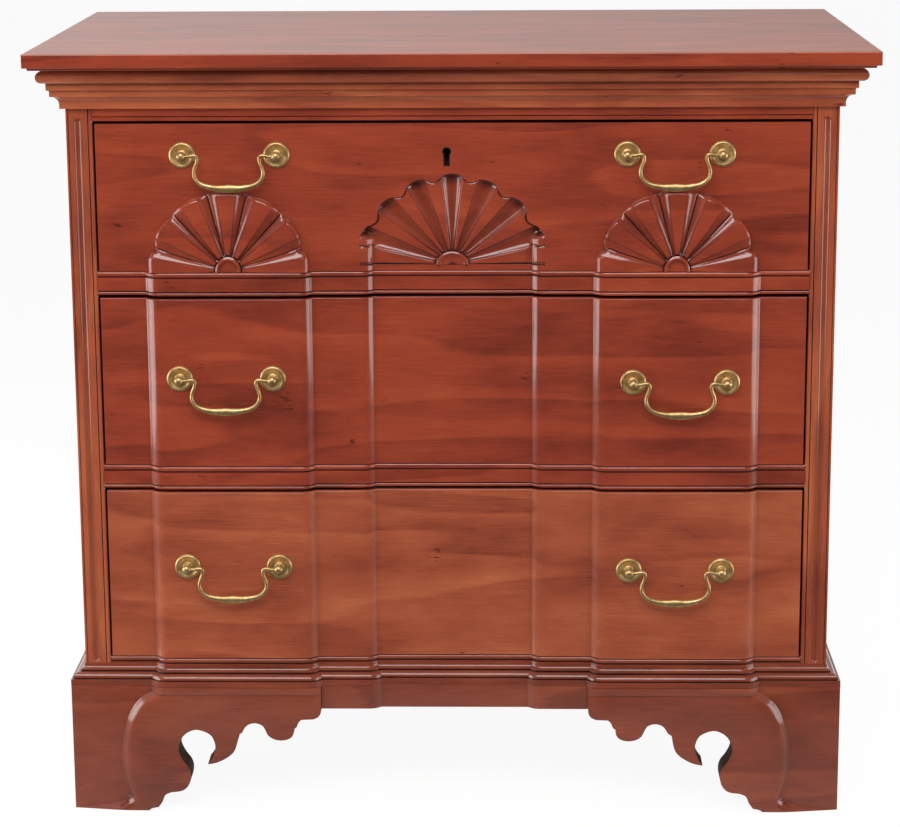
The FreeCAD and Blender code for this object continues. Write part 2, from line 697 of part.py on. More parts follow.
def arch_outline(end, top):
    """The arch, the round lobe and the stepped end of a front bracket."""
    return [
        (f"{end} - 89", f"{top} - 54", "-13.6"),
        (f"{end} - 63.5", f"{top} - 49.5", ""),
        (f"{end} - 60.5", f"{top} - 57.5", "17"),
        (f"{end} - 31.5", f"{top} - 56", ""),
        (f"{end} - 31.5", f"{top} - 49.5", ""),
        (f"{end} - 28", f"{top} - 47.5", "-9"),
        (f"{end} - 22", f"{top} - 38.2", ""),
        (f"{end} - 9", f"{top} - 38.2", "9.5"),
        (f"{end}", f"{top} - 29", ""),
    ]


def front_foot():
    """Blocked face of the left front foot; its ridge sweeps out to the scrolled toe."""
    outer, end, top = f"-{FOOT_OUTER}", f"-{FOOT_INNER}", "Sizes.foot_height"
    foot = body("foot_front_left", y=FACE)
    eye = f"{outer} + 142.4"
    lower = pad_outline(outer, eye, top) + eye_outline(eye, top) + arch_outline(end, top)
    board = lower + [(end, top, ""), (outer, top, ""), (outer, "0", "")]
    face = sketch(foot, "foot_board", "XZ_Plane", board, offset=FOOT_OUT)
    pad(foot, face, "Sizes.foot_thickness", reverse=True)
    ridge = [
        (f"-{BLOCK_OUTER} + 2", top, "36"),
        (f"{outer} + 67", f"{top} - 33", "150"),
        (f"{outer} + 68", "20", "-13"),
        (f"{outer} + 56.5", "4", ""),
        (f"{outer} + 56.5", "0", ""),
    ]
    block = sketch(foot, "foot_block", "XZ_Plane", lower + [(end, top, "")] + ridge, offset=FOOT_OUT)
    pad(foot, block, "Sizes.block_rise")
    raised = -mm(f"{FOOT_OUT} + Sizes.block_rise")

    def on_ridge(line):
        """The two long arcs of the ridge; every other curve of the foot is tighter."""
        on_face = abs(line.BoundBox.YMin - raised) < 0.01 and line.BoundBox.YLength < 0.01
        return on_face and line.Curve.TypeId == "Part::GeomCircle" and line.Curve.Radius > 35

    ease(foot, on_ridge, "Sizes.foot_block_round")
    fillet = rectangle(f"-{BLOCK_OUTER} + Sizes.block_run / 2", f"{top} - Sizes.foot_fillet_height",
                       end, top)
    band = sketch(foot, "foot_fillet", "XZ_Plane", fillet, offset=f"{FOOT_OUT} + Sizes.block_rise")
    pad(foot, band, "Sizes.foot_fillet_rise")
    reach = "Sizes.foot_thickness"
    corner = [
        (outer, f"-{FOOT_OUT}", ""),
        (f"{outer} + 2 * {reach}", f"-{FOOT_OUT} + 2 * {reach}", ""),
        (outer, f"-{FOOT_OUT} + 2 * {reach}", ""),
    ]
    pocket(foot, sketch(foot, "foot_mitre", "XY_Plane", corner), top, reverse=True)
    keep(foot)
    keep(mirror("foot_front_right", foot))


def side_foot_outline(start):
    """Outline of a side bracket that starts at a corner and runs back."""
    top, end = "Sizes.foot_height", f"{start} + Sizes.side_bracket"
    eye = f"{start} + 142.4"
    lower = pad_outline(start, eye, top) + eye_outline(eye, top)
    lower += [(f"{end} - 19", f"{top} - 53", "-21"), (end, f"{top} - 36", "")]
    return lower + [(end, top, ""), (start, top, ""), (start, "0", "")]


def side_feet():
    outer = f"-{FOOT_OUTER}"
    start = f"-{FOOT_OUT}"
    front = body("foot_side_front_left", y=FACE)
    outline = side_foot_outline(start)
    pad(front, sketch(front, "side_bracket", "YZ_Plane", outline, offset=outer), "Sizes.foot_thickness")
    reach = "Sizes.foot_thickness"
    corner = [
        (outer, start, ""),
        (f"{outer} + 2 * {reach}", start, ""),
        (f"{outer} + 2 * {reach}", f"{start} + 2 * {reach}", ""),
    ]
    pocket(front, sketch(front, "side_mitre", "XY_Plane", corner), "Sizes.foot_height", reverse=True)
    keep(group("foot_sides_front", front, mirror("foot_side_front_right", front)))

    rear = body("foot_side_rear_left", y=BACK)
    outline = [(f"-({y})", z, f"-({bend})" if bend else "") for y, z, bend in side_foot_outline("0")]
    pad(rear, sketch(rear, "rear_bracket", "YZ_Plane", outline, offset=outer), "Sizes.foot_thickness")
    keep(group("foot_sides_rear", rear, mirror("foot_side_rear_right", rear)))


def rear_brackets():
    """Plain boards across the back of the rear feet."""
    outer = f"-{FOOT_OUTER} + Sizes.foot_thickness"
    bracket = body("rear_bracket_left", y=BACK)
    outline = [
        (outer, "0", ""),
        (f"{outer} + 60", "0", ""),
        (f"{outer} + 60", "18", "-75"),
        (f"{outer} + Sizes.rear_bracket", "Sizes.foot_height - 25", ""),
        (f"{outer} + Sizes.rear_bracket", "Sizes.foot_height", ""),
        (outer, "Sizes.foot_height", ""),
    ]
    pad(bracket, sketch(bracket, "rear_bracket_outline", "XZ_Plane", outline), "Sizes.foot_thickness")
    keep(group("foot_rear_brackets", bracket, mirror("rear_bracket_right", bracket)))


def corner_blocks():
    blocks = []
    wide, clear = "Sizes.glue_block", "Sizes.block_clear"
    inside = f"{FOOT_OUTER} - Sizes.foot_thickness"
    for side, x in (("left", f"-({inside})"), ("right", f"{inside} - {wide}")):
        for end, y in (("front", f"{FACE} - {FOOT_OUT} + Sizes.foot_thickness"),
                       ("rear", f"{BACK} - Sizes.foot_thickness - {wide}")):
            blocks.append(box(f"block_{end}_{side}", (x, y, clear),
                              (wide, wide, f"Sizes.foot_height - {clear}")))
    keep(group("foot_blocks", *blocks))


def apron():
    """The skirt between the front feet, sunk in the middle like the drawers."""
    run, sink = "Sizes.recess_run", "Sizes.recess_depth"
    recess, bend = "(Sizes.recess_width / 2)", ogee_radius(run, sink)
    skirt = body("apron", y=f"{FACE} - {FOOT_OUT}", z="Sizes.foot_height - Sizes.apron_height")
    plan = [
        (f"-{FOOT_INNER}", "0", ""),
        (f"-({recess} + {run} / 2)", "0", bend),
        (f"-{recess}", f"{sink} / 2", f"-({bend})"),
        (f"-({recess} - {run} / 2)", sink, ""),
        (f"({recess} - {run} / 2)", sink, f"-({bend})"),
        (recess, f"{sink} / 2", bend),
        (f"({recess} + {run} / 2)", "0", ""),
        (FOOT_INNER, "0", ""),
        (FOOT_INNER, "Sizes.apron_thickness", ""),
        (f"-{FOOT_INNER}", "Sizes.apron_thickness", ""),
    ]
    pad(skirt, sketch(skirt, "apron_plan", "XY_Plane", plan), "Sizes.apron_height")
    keep(skirt)


# ---- The drawers ----

DRAWERS = [
    # name, floor, opening, how far its front stands forward at the handles, tails
    ("top", TOP_FLOOR, "Sizes.top_opening", "0", 4),
    ("middle", MIDDLE_FLOOR, "Sizes.middle_opening", "Sizes.block_rise", 5),
    ("bottom", BOTTOM_FLOOR, "Sizes.bottom_opening", "Sizes.block_rise", 5),
]
BOLT_FRONT = "(Sizes.front_thickness - (Sizes.lock_depth + Sizes.bolt_thickness) / 2)"


def tails(start, depth, height, count):
    """Dovetails up one end of a drawer side. depth is signed: the tails point that way."""
    pitch = f"({height}) / {count}"
    spread = "Sizes.dovetail_slope"
    corners = []
    for i in range(count):
        root_low, root_high = f"({i} + 0.25) * {pitch}", f"({i} + 0.75) * {pitch}"
        corners += [
            (start, root_low, ""),
            (f"{start} + {depth}", f"{root_low} - {spread}", ""),
            (f"{start} + {depth}", f"{root_high} + {spread}", ""),
            (start, root_high, ""),
        ]
    return corners


def drawer_side(name, floor, height, count):
    """Left side of a drawer, with tails at both ends."""
    side = body(f"drawer_{name}_side_blank", x=f"-{FRONT_HALF}", y=FACE,
                z=f"{floor} + Sizes.runner_clearance")
    front, back = "Sizes.front_thickness", f"({DRAWER_LENGTH} - Sizes.drawer_back)"
    lap = "Sizes.front_thickness - Sizes.dovetail_lap"
    front_tails = tails(front, f"-({lap})", height, count)
    back_tails = tails(back, "Sizes.drawer_back", height, count)
    outline = [(front, "0", "")] + front_tails + [(front, height, ""), (back, height, "")]
    outline += list(reversed(back_tails)) + [(back, "0", "")]
    pad(side, sketch(side, f"{name}_side_outline", "YZ_Plane", outline), "Sizes.drawer_side")
    return side


def drawer(name, floor, opening, rise, count):
    """Front, sides, back and bottom of one drawer, dovetailed and grooved together."""
    front_height = f"({opening} - Sizes.front_lift - Sizes.front_top_gap)"
    side_height = f"({front_height} - Sizes.side_drop)"
    level = f"{floor} + Sizes.runner_clearance"
    left_blank = drawer_side(name, floor, side_height, count)
    right_blank = mirror(f"drawer_{name}_side_blank_right", left_blank)
    sides = group(f"drawer_{name}_sides_blank", left_blank, right_blank)

    width = f"2 * ({FRONT_HALF} - Sizes.drawer_side + Sizes.panel_groove)"
    groove = f"{FACE} + Sizes.front_thickness - Sizes.panel_groove"
    bottom = keep(box(f"drawer_{name}_bottom",
                      (f"-({width}) / 2", groove, f"{level} + Sizes.panel_lift"),
                      (width, f"{DRAWER_LENGTH} - Sizes.front_thickness + Sizes.panel_groove",
                       "Sizes.panel_thickness")))
    keep(cut(f"drawer_{name}_side_left", left_blank, bottom))
    keep(cut(f"drawer_{name}_side_right", right_blank, bottom))

    above = "Sizes.panel_lift + Sizes.panel_thickness"
    back_board = box(f"drawer_{name}_back_blank",
                     (f"-{FRONT_HALF}", f"{FACE} + {DRAWER_LENGTH} - Sizes.drawer_back",
                      f"{level} + {above}"),
                     (f"2 * {FRONT_HALF}", "Sizes.drawer_back", f"{side_height} - ({above})"))
    keep(cut(f"drawer_{name}_back", back_board, sides))

    front = body(f"drawer_{name}_front_blank", y=FACE, z=f"{floor} + Sizes.front_lift")
    if name == "top":
        plan = rectangle(f"-{FRONT_HALF}", "0", FRONT_HALF, "Sizes.front_thickness")
    else:
        plan = blocked_outline(FRONT_HALF, "Sizes.front_thickness")
    pad(front, sketch(front, f"{name}_front_plan", "XY_Plane", plan), front_height)
    bores = []
    for hand, x, z in post_places(name, floor):
        bores.append(shank_hole(f"{name}_bore_{hand}", (x, f"{FACE} - Sizes.block_rise", z),
                                "Sizes.front_thickness + Sizes.block_rise"))
    tools = [sides, bottom] + bores
    if name == "top":
        tools += [middle_fan(), lock_seat(), key_hole("front_keyhole", "Sizes.lining_wall",
                                                      "Sizes.lining_depth", FACE),
                  key_hole("back_keyhole", "0", "Sizes.front_thickness", FACE)]
    keep(cut(f"drawer_{name}_front", front, group(f"drawer_{name}_joinery", *tools)))


# ---- The shells ----


# Every surface of a shell is a cone with its point at the hub, so that the rays taper to nothing
# there and meet along straight lines.


def ray(hub, apex_depth, reach, angle, half_width, edge_depth, crest_depth):
    """The cone that shapes one ray: a round lobe, or a hollow where its middle is the deeper.

    Depths run into the wood from the face of the drawer. At the rim the ray's two edges lie at
    edge_depth and its middle at crest_depth, and all of it runs to apex_depth at the hub.
    """
    turn = math.radians(angle)
    along, across = Vector(math.cos(turn), 0, math.sin(turn)), Vector(-math.sin(turn), 0, math.cos(turn))
    crest = (along * reach + Vector(0, crest_depth - apex_depth, 0)).normalize()
    edge_line = along * reach + across * half_width + Vector(0, edge_depth - apex_depth, 0)
    edge_line.normalize()
    core = crest.cross(across) if edge_depth < crest_depth else across.cross(crest)
    slope = (1 - edge_line.dot(crest)) / edge_line.dot(core)
    length = 1.5 * reach
    return Part.makeCone(0, length * slope, length, hub + Vector(0, apex_depth, 0), crest + core * slope)


def sector(hub, reach, angle, spread, front, back):
    """A wedge of the fan, between two depths."""
    corners = [hub]
    for turn in (angle - spread, angle + spread):
        corners.append(hub + Vector(math.cos(math.radians(turn)), 0, math.sin(math.radians(turn))) * reach)
    face = Part.Face(Part.makePolygon(corners + [hub]))
    face.translate(Vector(0, front, 0))
    return face.extrude(Vector(0, back - front, 0))


def scalloped(hub, radius, angles, spread, bulge, front, back):
    """A half-round plate with one round scallop at each ray."""
    edges = []
    for angle in angles:
        arc = []
        for turn, reach in ((angle - spread, radius - bulge), (angle, radius),
                            (angle + spread, radius - bulge)):
            turn = math.radians(turn)
            arc.append(hub + Vector(math.cos(turn), 0, math.sin(turn)) * reach)
        if edges and last.distanceToPoint(arc[0]) > 0.01:
            edges.append(Part.makeLine(last, arc[0]))
        edges.append(Part.Arc(*arc).toShape())
        last = arc[-1]
    edges.append(Part.makeLine(last, edges[0].Vertexes[0].Point))
    face = Part.Face(Part.Wire(edges))
    face.translate(Vector(0, front, 0))
    return face.extrude(Vector(0, back - front, 0))


def applied_shell(hub):
    """One applied shell: seven round lobes with hollows between them, and a hub."""
    radius, relief = mm("Sizes.shell_radius"), mm("Sizes.shell_relief")
    edge_depth, trough = mm("-Sizes.shell_edge"), mm("-Sizes.shell_ground")
    count, step, lobe = 7, 29, 8.5
    first = 90 - step * (count - 1) / 2
    lobes = [first + step * i for i in range(count)]
    hollows = [first + step * (i + 0.5) for i in range(count - 1)]
    shell = scalloped(hub, radius, lobes, lobe, mm("Sizes.shell_scallop"), 0, -relief)
    waste = []
    for angle in lobes:
        crown = ray(hub, -relief, radius, angle, radius * math.tan(math.radians(lobe)),
                    edge_depth, -relief)
        waste.append(sector(hub, 1.2 * radius, angle, lobe, -2 * relief, edge_depth).cut(crown))
    for angle in hollows:
        half = step / 2 - lobe
        waste.append(ray(hub, -relief, radius, angle, radius * math.tan(math.radians(half)),
                         edge_depth, trough))
    boss = Part.makeCylinder(mm("Sizes.shell_hub"), relief, hub, Vector(0, -1, 0))
    above = Part.makeBox(4 * radius, 4 * relief, 2 * radius, hub - Vector(2 * radius, 2 * relief, 0))
    return shell.cut(waste).fuse(boss).common(above).removeSplitter()


def outer_shells():
    """The two applied shells, glued on the top drawer's front over the blocks."""
    level = mm(f"{TOP_FLOOR} + Sizes.front_lift")
    shells = []
    for side in (-1, 1):
        shells.append(applied_shell(Vector(side * mm(BLOCK_CENTRE), mm(FACE), level)))
    carving = doc.addObject("Part::Feature", "shells")
    carving.Shape = Part.makeCompound(shells)
    keep(carving)


def middle_fan():
    """What is carved away for the sunk middle shell: nine hollow rays round a low hub."""
    radius, flute, sink = mm("Sizes.fan_radius"), mm("Sizes.fan_flute"), mm("Sizes.recess_depth")
    base, boss = mm("Sizes.fan_base"), mm("Sizes.fan_hub")
    hub = Vector(0, mm(FACE), mm(f"{TOP_FLOOR} + Sizes.front_lift") + base)
    count, step = 9, 22.5
    angles = [90 + step * (i - (count - 1) / 2) for i in range(count)]
    half = radius * math.tan(math.radians(step / 2))
    limit = scalloped(hub, radius, angles, step / 2, mm("Sizes.fan_scallop"), -sink, 2 * sink)
    waste = [Part.makeCylinder(boss, 2 * sink, hub - Vector(0, sink, 0), Vector(0, 1, 0))]
    for angle in angles:
        share = sector(hub, 1.2 * radius, angle, step / 2, -sink, 2 * sink)
        waste.append(ray(hub, sink, radius, angle, half, 0.2, flute).common(share).common(limit))
    outer = mm("(Sizes.recess_width + Sizes.recess_run) / 2")
    inner = mm("(Sizes.recess_width - Sizes.recess_run) / 2")
    plan = [(-outer, -sink), (-outer, 0), (-inner, sink), (inner, sink), (outer, 0), (outer, -sink)]
    corners = [hub + Vector(x, y, -2 * base) for x, y in plan]
    waste.append(Part.Face(Part.makePolygon(corners + corners[:1])).extrude(Vector(0, 0, 2 * base)))
    carving = waste[0].multiFuse(waste[1:])
    low_hub = Part.makeCylinder(boss, sink, hub + Vector(0, sink / 3, 0), Vector(0, 1, 0))
    above = Part.makeBox(2 * boss, 2 * sink, boss, hub - Vector(boss, 0, 0))
    fan = doc.addObject("Part::Feature", "fan_carving")
    fan.Shape = carving.cut(low_hub.common(above))
    return fan


# ---- The lock ----

KEY_LEVEL = f"({TOP_RAIL} - Sizes.front_top_gap - Sizes.key_height)"


def key_hole(label, margin, depth, start):
    """A keyhole: a round head over a slot, grown by a margin, running back from a face."""
    head = rod(f"{label}_head", ("-Sizes.lock_offset", start, KEY_LEVEL),
               f"Sizes.key_head + {margin}", depth, Vector(0, 1, 0))
    slot = box(f"{label}_slot",
               (f"-Sizes.lock_offset - Sizes.key_slot / 2 - {margin}", start,
                f"{KEY_LEVEL} - Sizes.key_drop - {margin}"),
               (f"Sizes.key_slot + 2 * {margin}", depth, f"Sizes.key_drop + {margin}"))
    return fuse(label, head, slot)


def lock_seat():
    """The pocket in the back of the top drawer's front that the lock is let into."""
    top = f"{TOP_RAIL} - Sizes.front_top_gap"
    return box("lock_seat",
               ("-Sizes.lock_offset - Sizes.lock_width / 2",
                f"{FACE} + Sizes.front_thickness - Sizes.lock_depth", f"{top} - Sizes.lock_height"),
               ("Sizes.lock_width", "Sizes.lock_depth", "Sizes.lock_height"))


def lock():
    """Lock case, brass keyhole lining and the bolt that rises into the top rail."""
    wall, clear = "Sizes.lock_wall", "Sizes.bolt_clearance"
    top = f"{TOP_RAIL} - Sizes.front_top_gap"
    face = f"{FACE} + Sizes.front_thickness - Sizes.lock_depth"
    shell = box("lock_plates", ("-Sizes.lock_offset - Sizes.lock_width / 2", face,
                                f"{top} - Sizes.lock_height"),
                ("Sizes.lock_width", "Sizes.lock_depth", "Sizes.lock_height"))
    works = box("lock_works", (f"-Sizes.lock_offset - Sizes.lock_width / 2 + {wall}",
                               f"{face} + {wall}", f"{top} - Sizes.lock_height + {wall}"),
                (f"Sizes.lock_width - 2 * {wall}", f"Sizes.lock_depth - 2 * {wall}",
                 f"Sizes.lock_height - 2 * {wall}"))
    gate = box("bolt_gate", (f"-Sizes.lock_offset - Sizes.bolt_width / 2 - {clear}",
                             f"{FACE} + {BOLT_FRONT} - {clear}", f"{top} - 2 * {wall}"),
               (f"Sizes.bolt_width + 2 * {clear}", f"Sizes.bolt_thickness + 2 * {clear}",
                f"3 * {wall}"))
    key_way = key_hole("lock_keyhole", "0", wall, face)
    keep(cut("lock_case", shell, group("lock_openings", works, gate, key_way)))

    outer = key_hole("lining_outer", "Sizes.lining_wall", "Sizes.lining_depth", FACE)
    inner = key_hole("lining_inner", "0", "Sizes.lining_depth", FACE)
    keep(cut("escutcheon", outer, inner))

    keep(box("lock_bolt", ("-Sizes.lock_offset - Sizes.bolt_width / 2", f"{FACE} + {BOLT_FRONT}",
                           f"{top} - Sizes.bolt_height"),
             ("Sizes.bolt_width", "Sizes.bolt_thickness", "Sizes.bolt_height")))


# ---- The handles ----


def pull_places(name, floor):
    """The two handles of a drawer: side, X and Z of the middle of the bail's axis."""
    place_out = f"({BLOCK_CENTRE} + Sizes.{name}_pull_shift)"
    height = f"{floor} + Sizes.{name}_pull_height"
    drop = "0" if name == "top" else f"Sizes.{name}_pull_drop"
    return [("left", f"-{place_out}", height), ("right", place_out, f"{height} - {drop}")]


def post_places(name, floor):
    """The four posts of a drawer: name, X and Z."""
    places = []
    for side, x, z in pull_places(name, floor):
        places.append((f"{side}_1", f"{x} - Sizes.pull_span / 2", z))
        places.append((f"{side}_2", f"{x} + Sizes.pull_span / 2", z))
    return places


def shank_hole(label, start, depth):
    """A square hole that runs back from the middle of its mouth."""
    x, y, z = start
    half = f"{SHANK_HOLE} / 2"
    return box(label, (f"{x} - {half}", y, f"{z} - {half}"), (SHANK_HOLE, depth, SHANK_HOLE))


def rosette():
    """A cast rosette: a raised rim round a dished ground, with a flat seat for the post."""
    disc = body("rosette_blank")
    radius, rim, dish = "Sizes.rosette_radius", "Sizes.rosette_rim", "Sizes.rosette_dish"
    profile = [
        ("0", "0", ""),
        (radius, "0", ""),
        (f"{radius} - Sizes.rosette_lip", f"-{rim}", ""),
        ("Sizes.rosette_seat", f"-{dish}", ""),
        ("0", f"-{dish}", ""),
    ]
    revolve(disc, sketch(disc, "rosette_profile", "XY_Plane", profile))
    return cut("rosette_pattern", disc, shank_hole("rosette_hole", ("0", f"-{rim}", "0"), rim))


def post(name, rise):
    """A bail post: a bead bored along the bail's axis, and a square shank through the drawer front."""
    head, half, shank = "Sizes.post_head", "Sizes.post_bead", "Sizes.post_shank"
    bore = "(Sizes.bail_pin + Sizes.pin_clearance)"
    bead = body(f"post_{name}_bead", y="-Sizes.bail_standoff")
    profile = [
        (f"-{half}", bore, ""),
        (half, bore, ""),
        (half, f"({bore} + {head}) / 2", ""),
        (f"{half} / 2", head, ""),
        (f"-{half} / 2", head, ""),
        (f"-{half}", f"({bore} + {head}) / 2", ""),
    ]
    revolve(bead, sketch(bead, f"post_{name}_profile", "XY_Plane", profile), "H_Axis")
    start = f"(({bore} + {head}) / 2 - Sizes.bail_standoff)"
    length = f"Sizes.front_thickness + {rise} + Sizes.shank_reach - {start}"
    stem = box(f"post_{name}_shank", (f"-{shank} / 2", start, f"-{shank} / 2"), (shank, length, shank))
    return fuse(f"post_{name}_pattern", bead, stem)


def nut():
    side, thick = "Sizes.nut_width", "Sizes.nut_thickness"
    block = box("nut_blank", (f"-{side} / 2", "0", f"-{side} / 2"), (side, thick, side))
    return cut("nut_pattern", block, shank_hole("nut_hole", ("0", "0", "0"), thick))


def bail():
    """A swan-neck bail about the middle of its axis, with a pin into each post."""
    loop = body("bail_blank")
    half, drop, grip = "(Sizes.pull_span / 2)", "Sizes.bail_drop", "Sizes.bail_grip"
    arm, pin = "Sizes.bail_arm", "Sizes.bail_pin"
    # lower edge from the middle of the grip out to the right pin, then the upper edge back
    lower = [
        ("18", f"-{drop} + 0.5", "45"),
        (f"{half} - 18", f"-{drop} + 4.3", "9"),
        (f"{half} - 11.7", f"-{drop} + 13", "12"),
        (f"{half} - 11.6", f"-{drop} + 19.5", ""),
        (f"{half} - 14.1", "-5.6", ""),
        (f"{half} - 10.1", f"-{pin}", ""),
        (f"{half} - 8", f"-{pin}", ""),
    ]
    upper = [
        (f"{half} - 8", pin, ""),
        (f"{half} - 14.5", pin, ""),
        (f"{half} - 14.1 - {arm}", "-3.2", ""),
        (f"{half} - 13.9 - {arm}", "-9", ""),
        (f"{half} - 11.7 - {arm}", f"-{drop} + 19.5", "-9"),
        (f"{half} - 20.5", f"-{drop} + {grip} + 2.5", ""),
        ("18", f"-{drop} + {grip}", ""),
    ]
    right = lower + upper
    left = []
    for i in range(len(right) - 1, -1, -1):
        left.append((f"-({right[i][0]})", right[i][1], right[i - 1][2] if i else ""))
    outline = sketch(loop, "bail_outline", "XZ_Plane", right + left)
    plate = pad(loop, outline, "Sizes.bail_thickness")
    plate.Midplane = True
    pins = []
    for side, start in (("left", f"-{half} - 2"), ("right", f"{half} - 10")):
        pins.append(rod(f"bail_pin_{side}", (start, "0", "0"), pin, "12", Vector(1, 0, 0)))
    return fuse("bail_pattern", loop, *pins)


def handles():
    disc, square = rosette(), nut()
    swan = bail()
    for name, floor, _, rise, _ in DRAWERS:
        face = f"{FACE} - {rise}"
        pin = post(name, rise)
        discs, pins, nuts = [], [], []
        for spot, x, z in post_places(name, floor):
            discs.append(copy_at(f"rosette_{name}_{spot}", disc, (x, face, z)))
            pins.append(copy_at(f"post_{name}_{spot}", pin, (x, face, z)))
            nuts.append(copy_at(f"nut_{name}_{spot}", square,
                                (x, f"{FACE} + Sizes.front_thickness", z)))
        keep(group(f"rosettes_{name}", *discs))
        keep(group(f"posts_{name}", *pins))
        keep(group(f"nuts_{name}", *nuts))
        for side, x, z in pull_places(name, floor):
            keep(copy_at(f"bail_{name}_{side}", swan, (x, f"{face} - Sizes.bail_standoff", z)))


# ---- Building and writing ----


def build():
    top_board()
    moulding("cornice", f"{CASE_TOP} - Sizes.cornice_height", cornice_profile(),
             "Sizes.cornice_projection", False)
    case_side()
    stile()
    top_rail()
    blade("rail_upper", UPPER_RAIL, "Sizes.rail_height", "Sizes.rail_depth")
    blade("rail_lower", LOWER_RAIL, "Sizes.rail_height", "Sizes.rail_depth")
    blade("bottom_rail", "Sizes.foot_height", "Sizes.bottom_rail_height", "Sizes.rail_depth", False)
    inner_case()
    moulding("base_moulding", "Sizes.foot_height", base_profile(), "Sizes.base_projection", True)
    apron()
    front_foot()
    side_feet()
    rear_brackets()
    corner_blocks()
    for name, floor, opening, rise, count in DRAWERS:
        drawer(name, floor, opening, rise, count)
    outer_shells()
    lock()
    handles()


def write():
    """Checks every object, then writes one STEP file for each sub-part."""
    doc.recompute()
    failed = [o.Label for o in doc.Objects if "Invalid" in o.State or "Error" in o.State]
    if failed:
        raise RuntimeError("failed: " + ", ".join(failed))
    os.makedirs("parts", exist_ok=True)
    for node in nodes:
        shape = node.Shape
        if shape.isNull() or not shape.isValid():
            raise RuntimeError(f"{node.Label} has no valid shape")
        shape.exportStep(f"parts/{node.Label}.step")
        print(f"{node.Label}: {len(shape.Solids)} solids, {shape.Volume / 1000:.1f} cm3")


build()
write()
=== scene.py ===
import json
import math
from itertools import product

import bmesh
import bpy
from mathutils import Matrix, Vector
from mathutils.geometry import delaunay_2d_cdt


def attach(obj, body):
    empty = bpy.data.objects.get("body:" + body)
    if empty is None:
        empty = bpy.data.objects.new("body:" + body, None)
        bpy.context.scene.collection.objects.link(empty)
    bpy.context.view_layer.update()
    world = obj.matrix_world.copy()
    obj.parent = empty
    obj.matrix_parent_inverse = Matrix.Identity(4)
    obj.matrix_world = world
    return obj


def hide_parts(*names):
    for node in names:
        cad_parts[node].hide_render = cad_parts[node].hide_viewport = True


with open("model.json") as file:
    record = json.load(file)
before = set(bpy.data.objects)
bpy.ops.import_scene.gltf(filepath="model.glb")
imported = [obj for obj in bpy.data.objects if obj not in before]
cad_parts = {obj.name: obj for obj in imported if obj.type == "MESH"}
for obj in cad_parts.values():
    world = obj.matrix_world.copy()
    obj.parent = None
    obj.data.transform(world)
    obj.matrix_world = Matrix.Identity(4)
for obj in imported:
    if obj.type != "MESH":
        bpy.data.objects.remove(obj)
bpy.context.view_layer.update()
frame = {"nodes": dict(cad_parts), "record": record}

# A block-front chest of three drawers: varnished cherry over bare poplar linings, with cast brass
# bail handles. Shapes are drawn in millimetres and turned to metres by MM. The front lies towards
# minus Y, and the left half at minus X.

SLOTS = {row["node"]: row["material_slot"] for row in frame["record"]["subparts"]}
BODIES = {node: body for body, nodes in frame["record"]["behaviour"]["bodies"].items()
          for node in nodes}
MM = 0.001
LEFT, RIGHT = -1, 1
CREASE = 38  # degrees: an edge that turns more than this stays sharp
CURVE_STEPS = 8  # faces across a bead or a cove
ARRIS = 1.1  # how far a square edge is rubbed down

# the front, from the source of the solids
FACE = -215.0  # stiles and the flat parts of the drawer fronts
BLOCK_OUTER, BLOCK_INNER = 330.0, 161.5  # middles of the ogees at a block's two sides
BLOCK_RISE, BLOCK_RUN = 8.5, 16.5
RECESS_EDGE, RECESS_DEPTH, RECESS_RUN = 94.0, 6.5, 15.0
SPREAD = 1 / 3  # how far a moulding widens a block for each millimetre that it projects
HOLLOW_SHARE = 0.15  # of an ogee: a tight hollow, then a wide round
HOLLOW_STEPS, ROUND_STEPS = 4, 14
RAIL_HALF, RAIL_BACK = 390.5, -153  # half a rail's width, and the plane of its back
BLADES = {"upper": (594.3, 620.3), "lower": (374.8, 400.8)}  # undersides and tops
DRAWER_HALF = 388
DRAWERS = {"middle": (401.3, 591.0), "bottom": (177.0, 371.5)}
BASE_HALF = 419
BASE_LOW = 147.5  # underside of the base moulding, where the feet and the skirt begin
BRACKET_END = -150.5  # inner end of the left front foot


def colour(code):
    """An sRGB hex colour as a linear one, with alpha."""
    parts = [int(code[i:i + 2], 16) / 255 for i in (1, 3, 5)]
    return [c / 12.92 if c <= 0.04045 else ((c + 0.055) / 1.055) ** 2.4 for c in parts] + [1.0]


def add(tree, kind, settings=None, links=None):
    """Add a node. Settings go to its properties or sockets, and links join sockets to outputs."""
    node = tree.nodes.new("ShaderNode" + kind)
    for key, value in (settings or {}).items():
        if key == "stops":
            stops = node.color_ramp.elements
            while len(stops) < len(value):
                stops.new(0.5)
            for stop, (place, shade) in zip(stops, value):
                stop.position = place
                stop.color = shade
        elif isinstance(key, str) and hasattr(node, key):
            setattr(node, key, value)
        else:
            node.inputs[key].default_value = value
    for key, source in (links or {}).items():
        tree.links.new(source, node.inputs[key])
    return node


# ---------------- timber and metal

GREY = {level: [level, level, level, 1.0] for level in (0.0, 0.5, 0.8, 1.0)}
TURNS = {"x": (0, 0, 0), "y": (0, 0, math.pi / 2), "z": (0, math.pi / 2, 0)}
LOG_STEP = (0.37, 0.53, 0.71)  # metres through the log from one board to the next
SWELL = 110  # mm from one swell of the growth rings to the next
CLOUD_SHARE = 0.46  # of the tone, beside the shares of rings and fibres


def material(name):
    """A new material and its tree, with the surface shader joined to the output."""
    made = bpy.data.materials.new(name)
    made.use_nodes = True
    tree = made.node_tree
    tree.nodes.clear()
    shader = add(tree, "BsdfPrincipled")
    add(tree, "OutputMaterial", None, {0: shader.outputs[0]})
    return made, tree, shader


def lay_on(tree, shader, shade, rough, bump):
    """Join a surface's colour, roughness and bump to its shader."""
    for socket, source in (("Base Color", shade), ("Roughness", rough), ("Normal", bump)):
        tree.links.new(source, shader.inputs[socket])


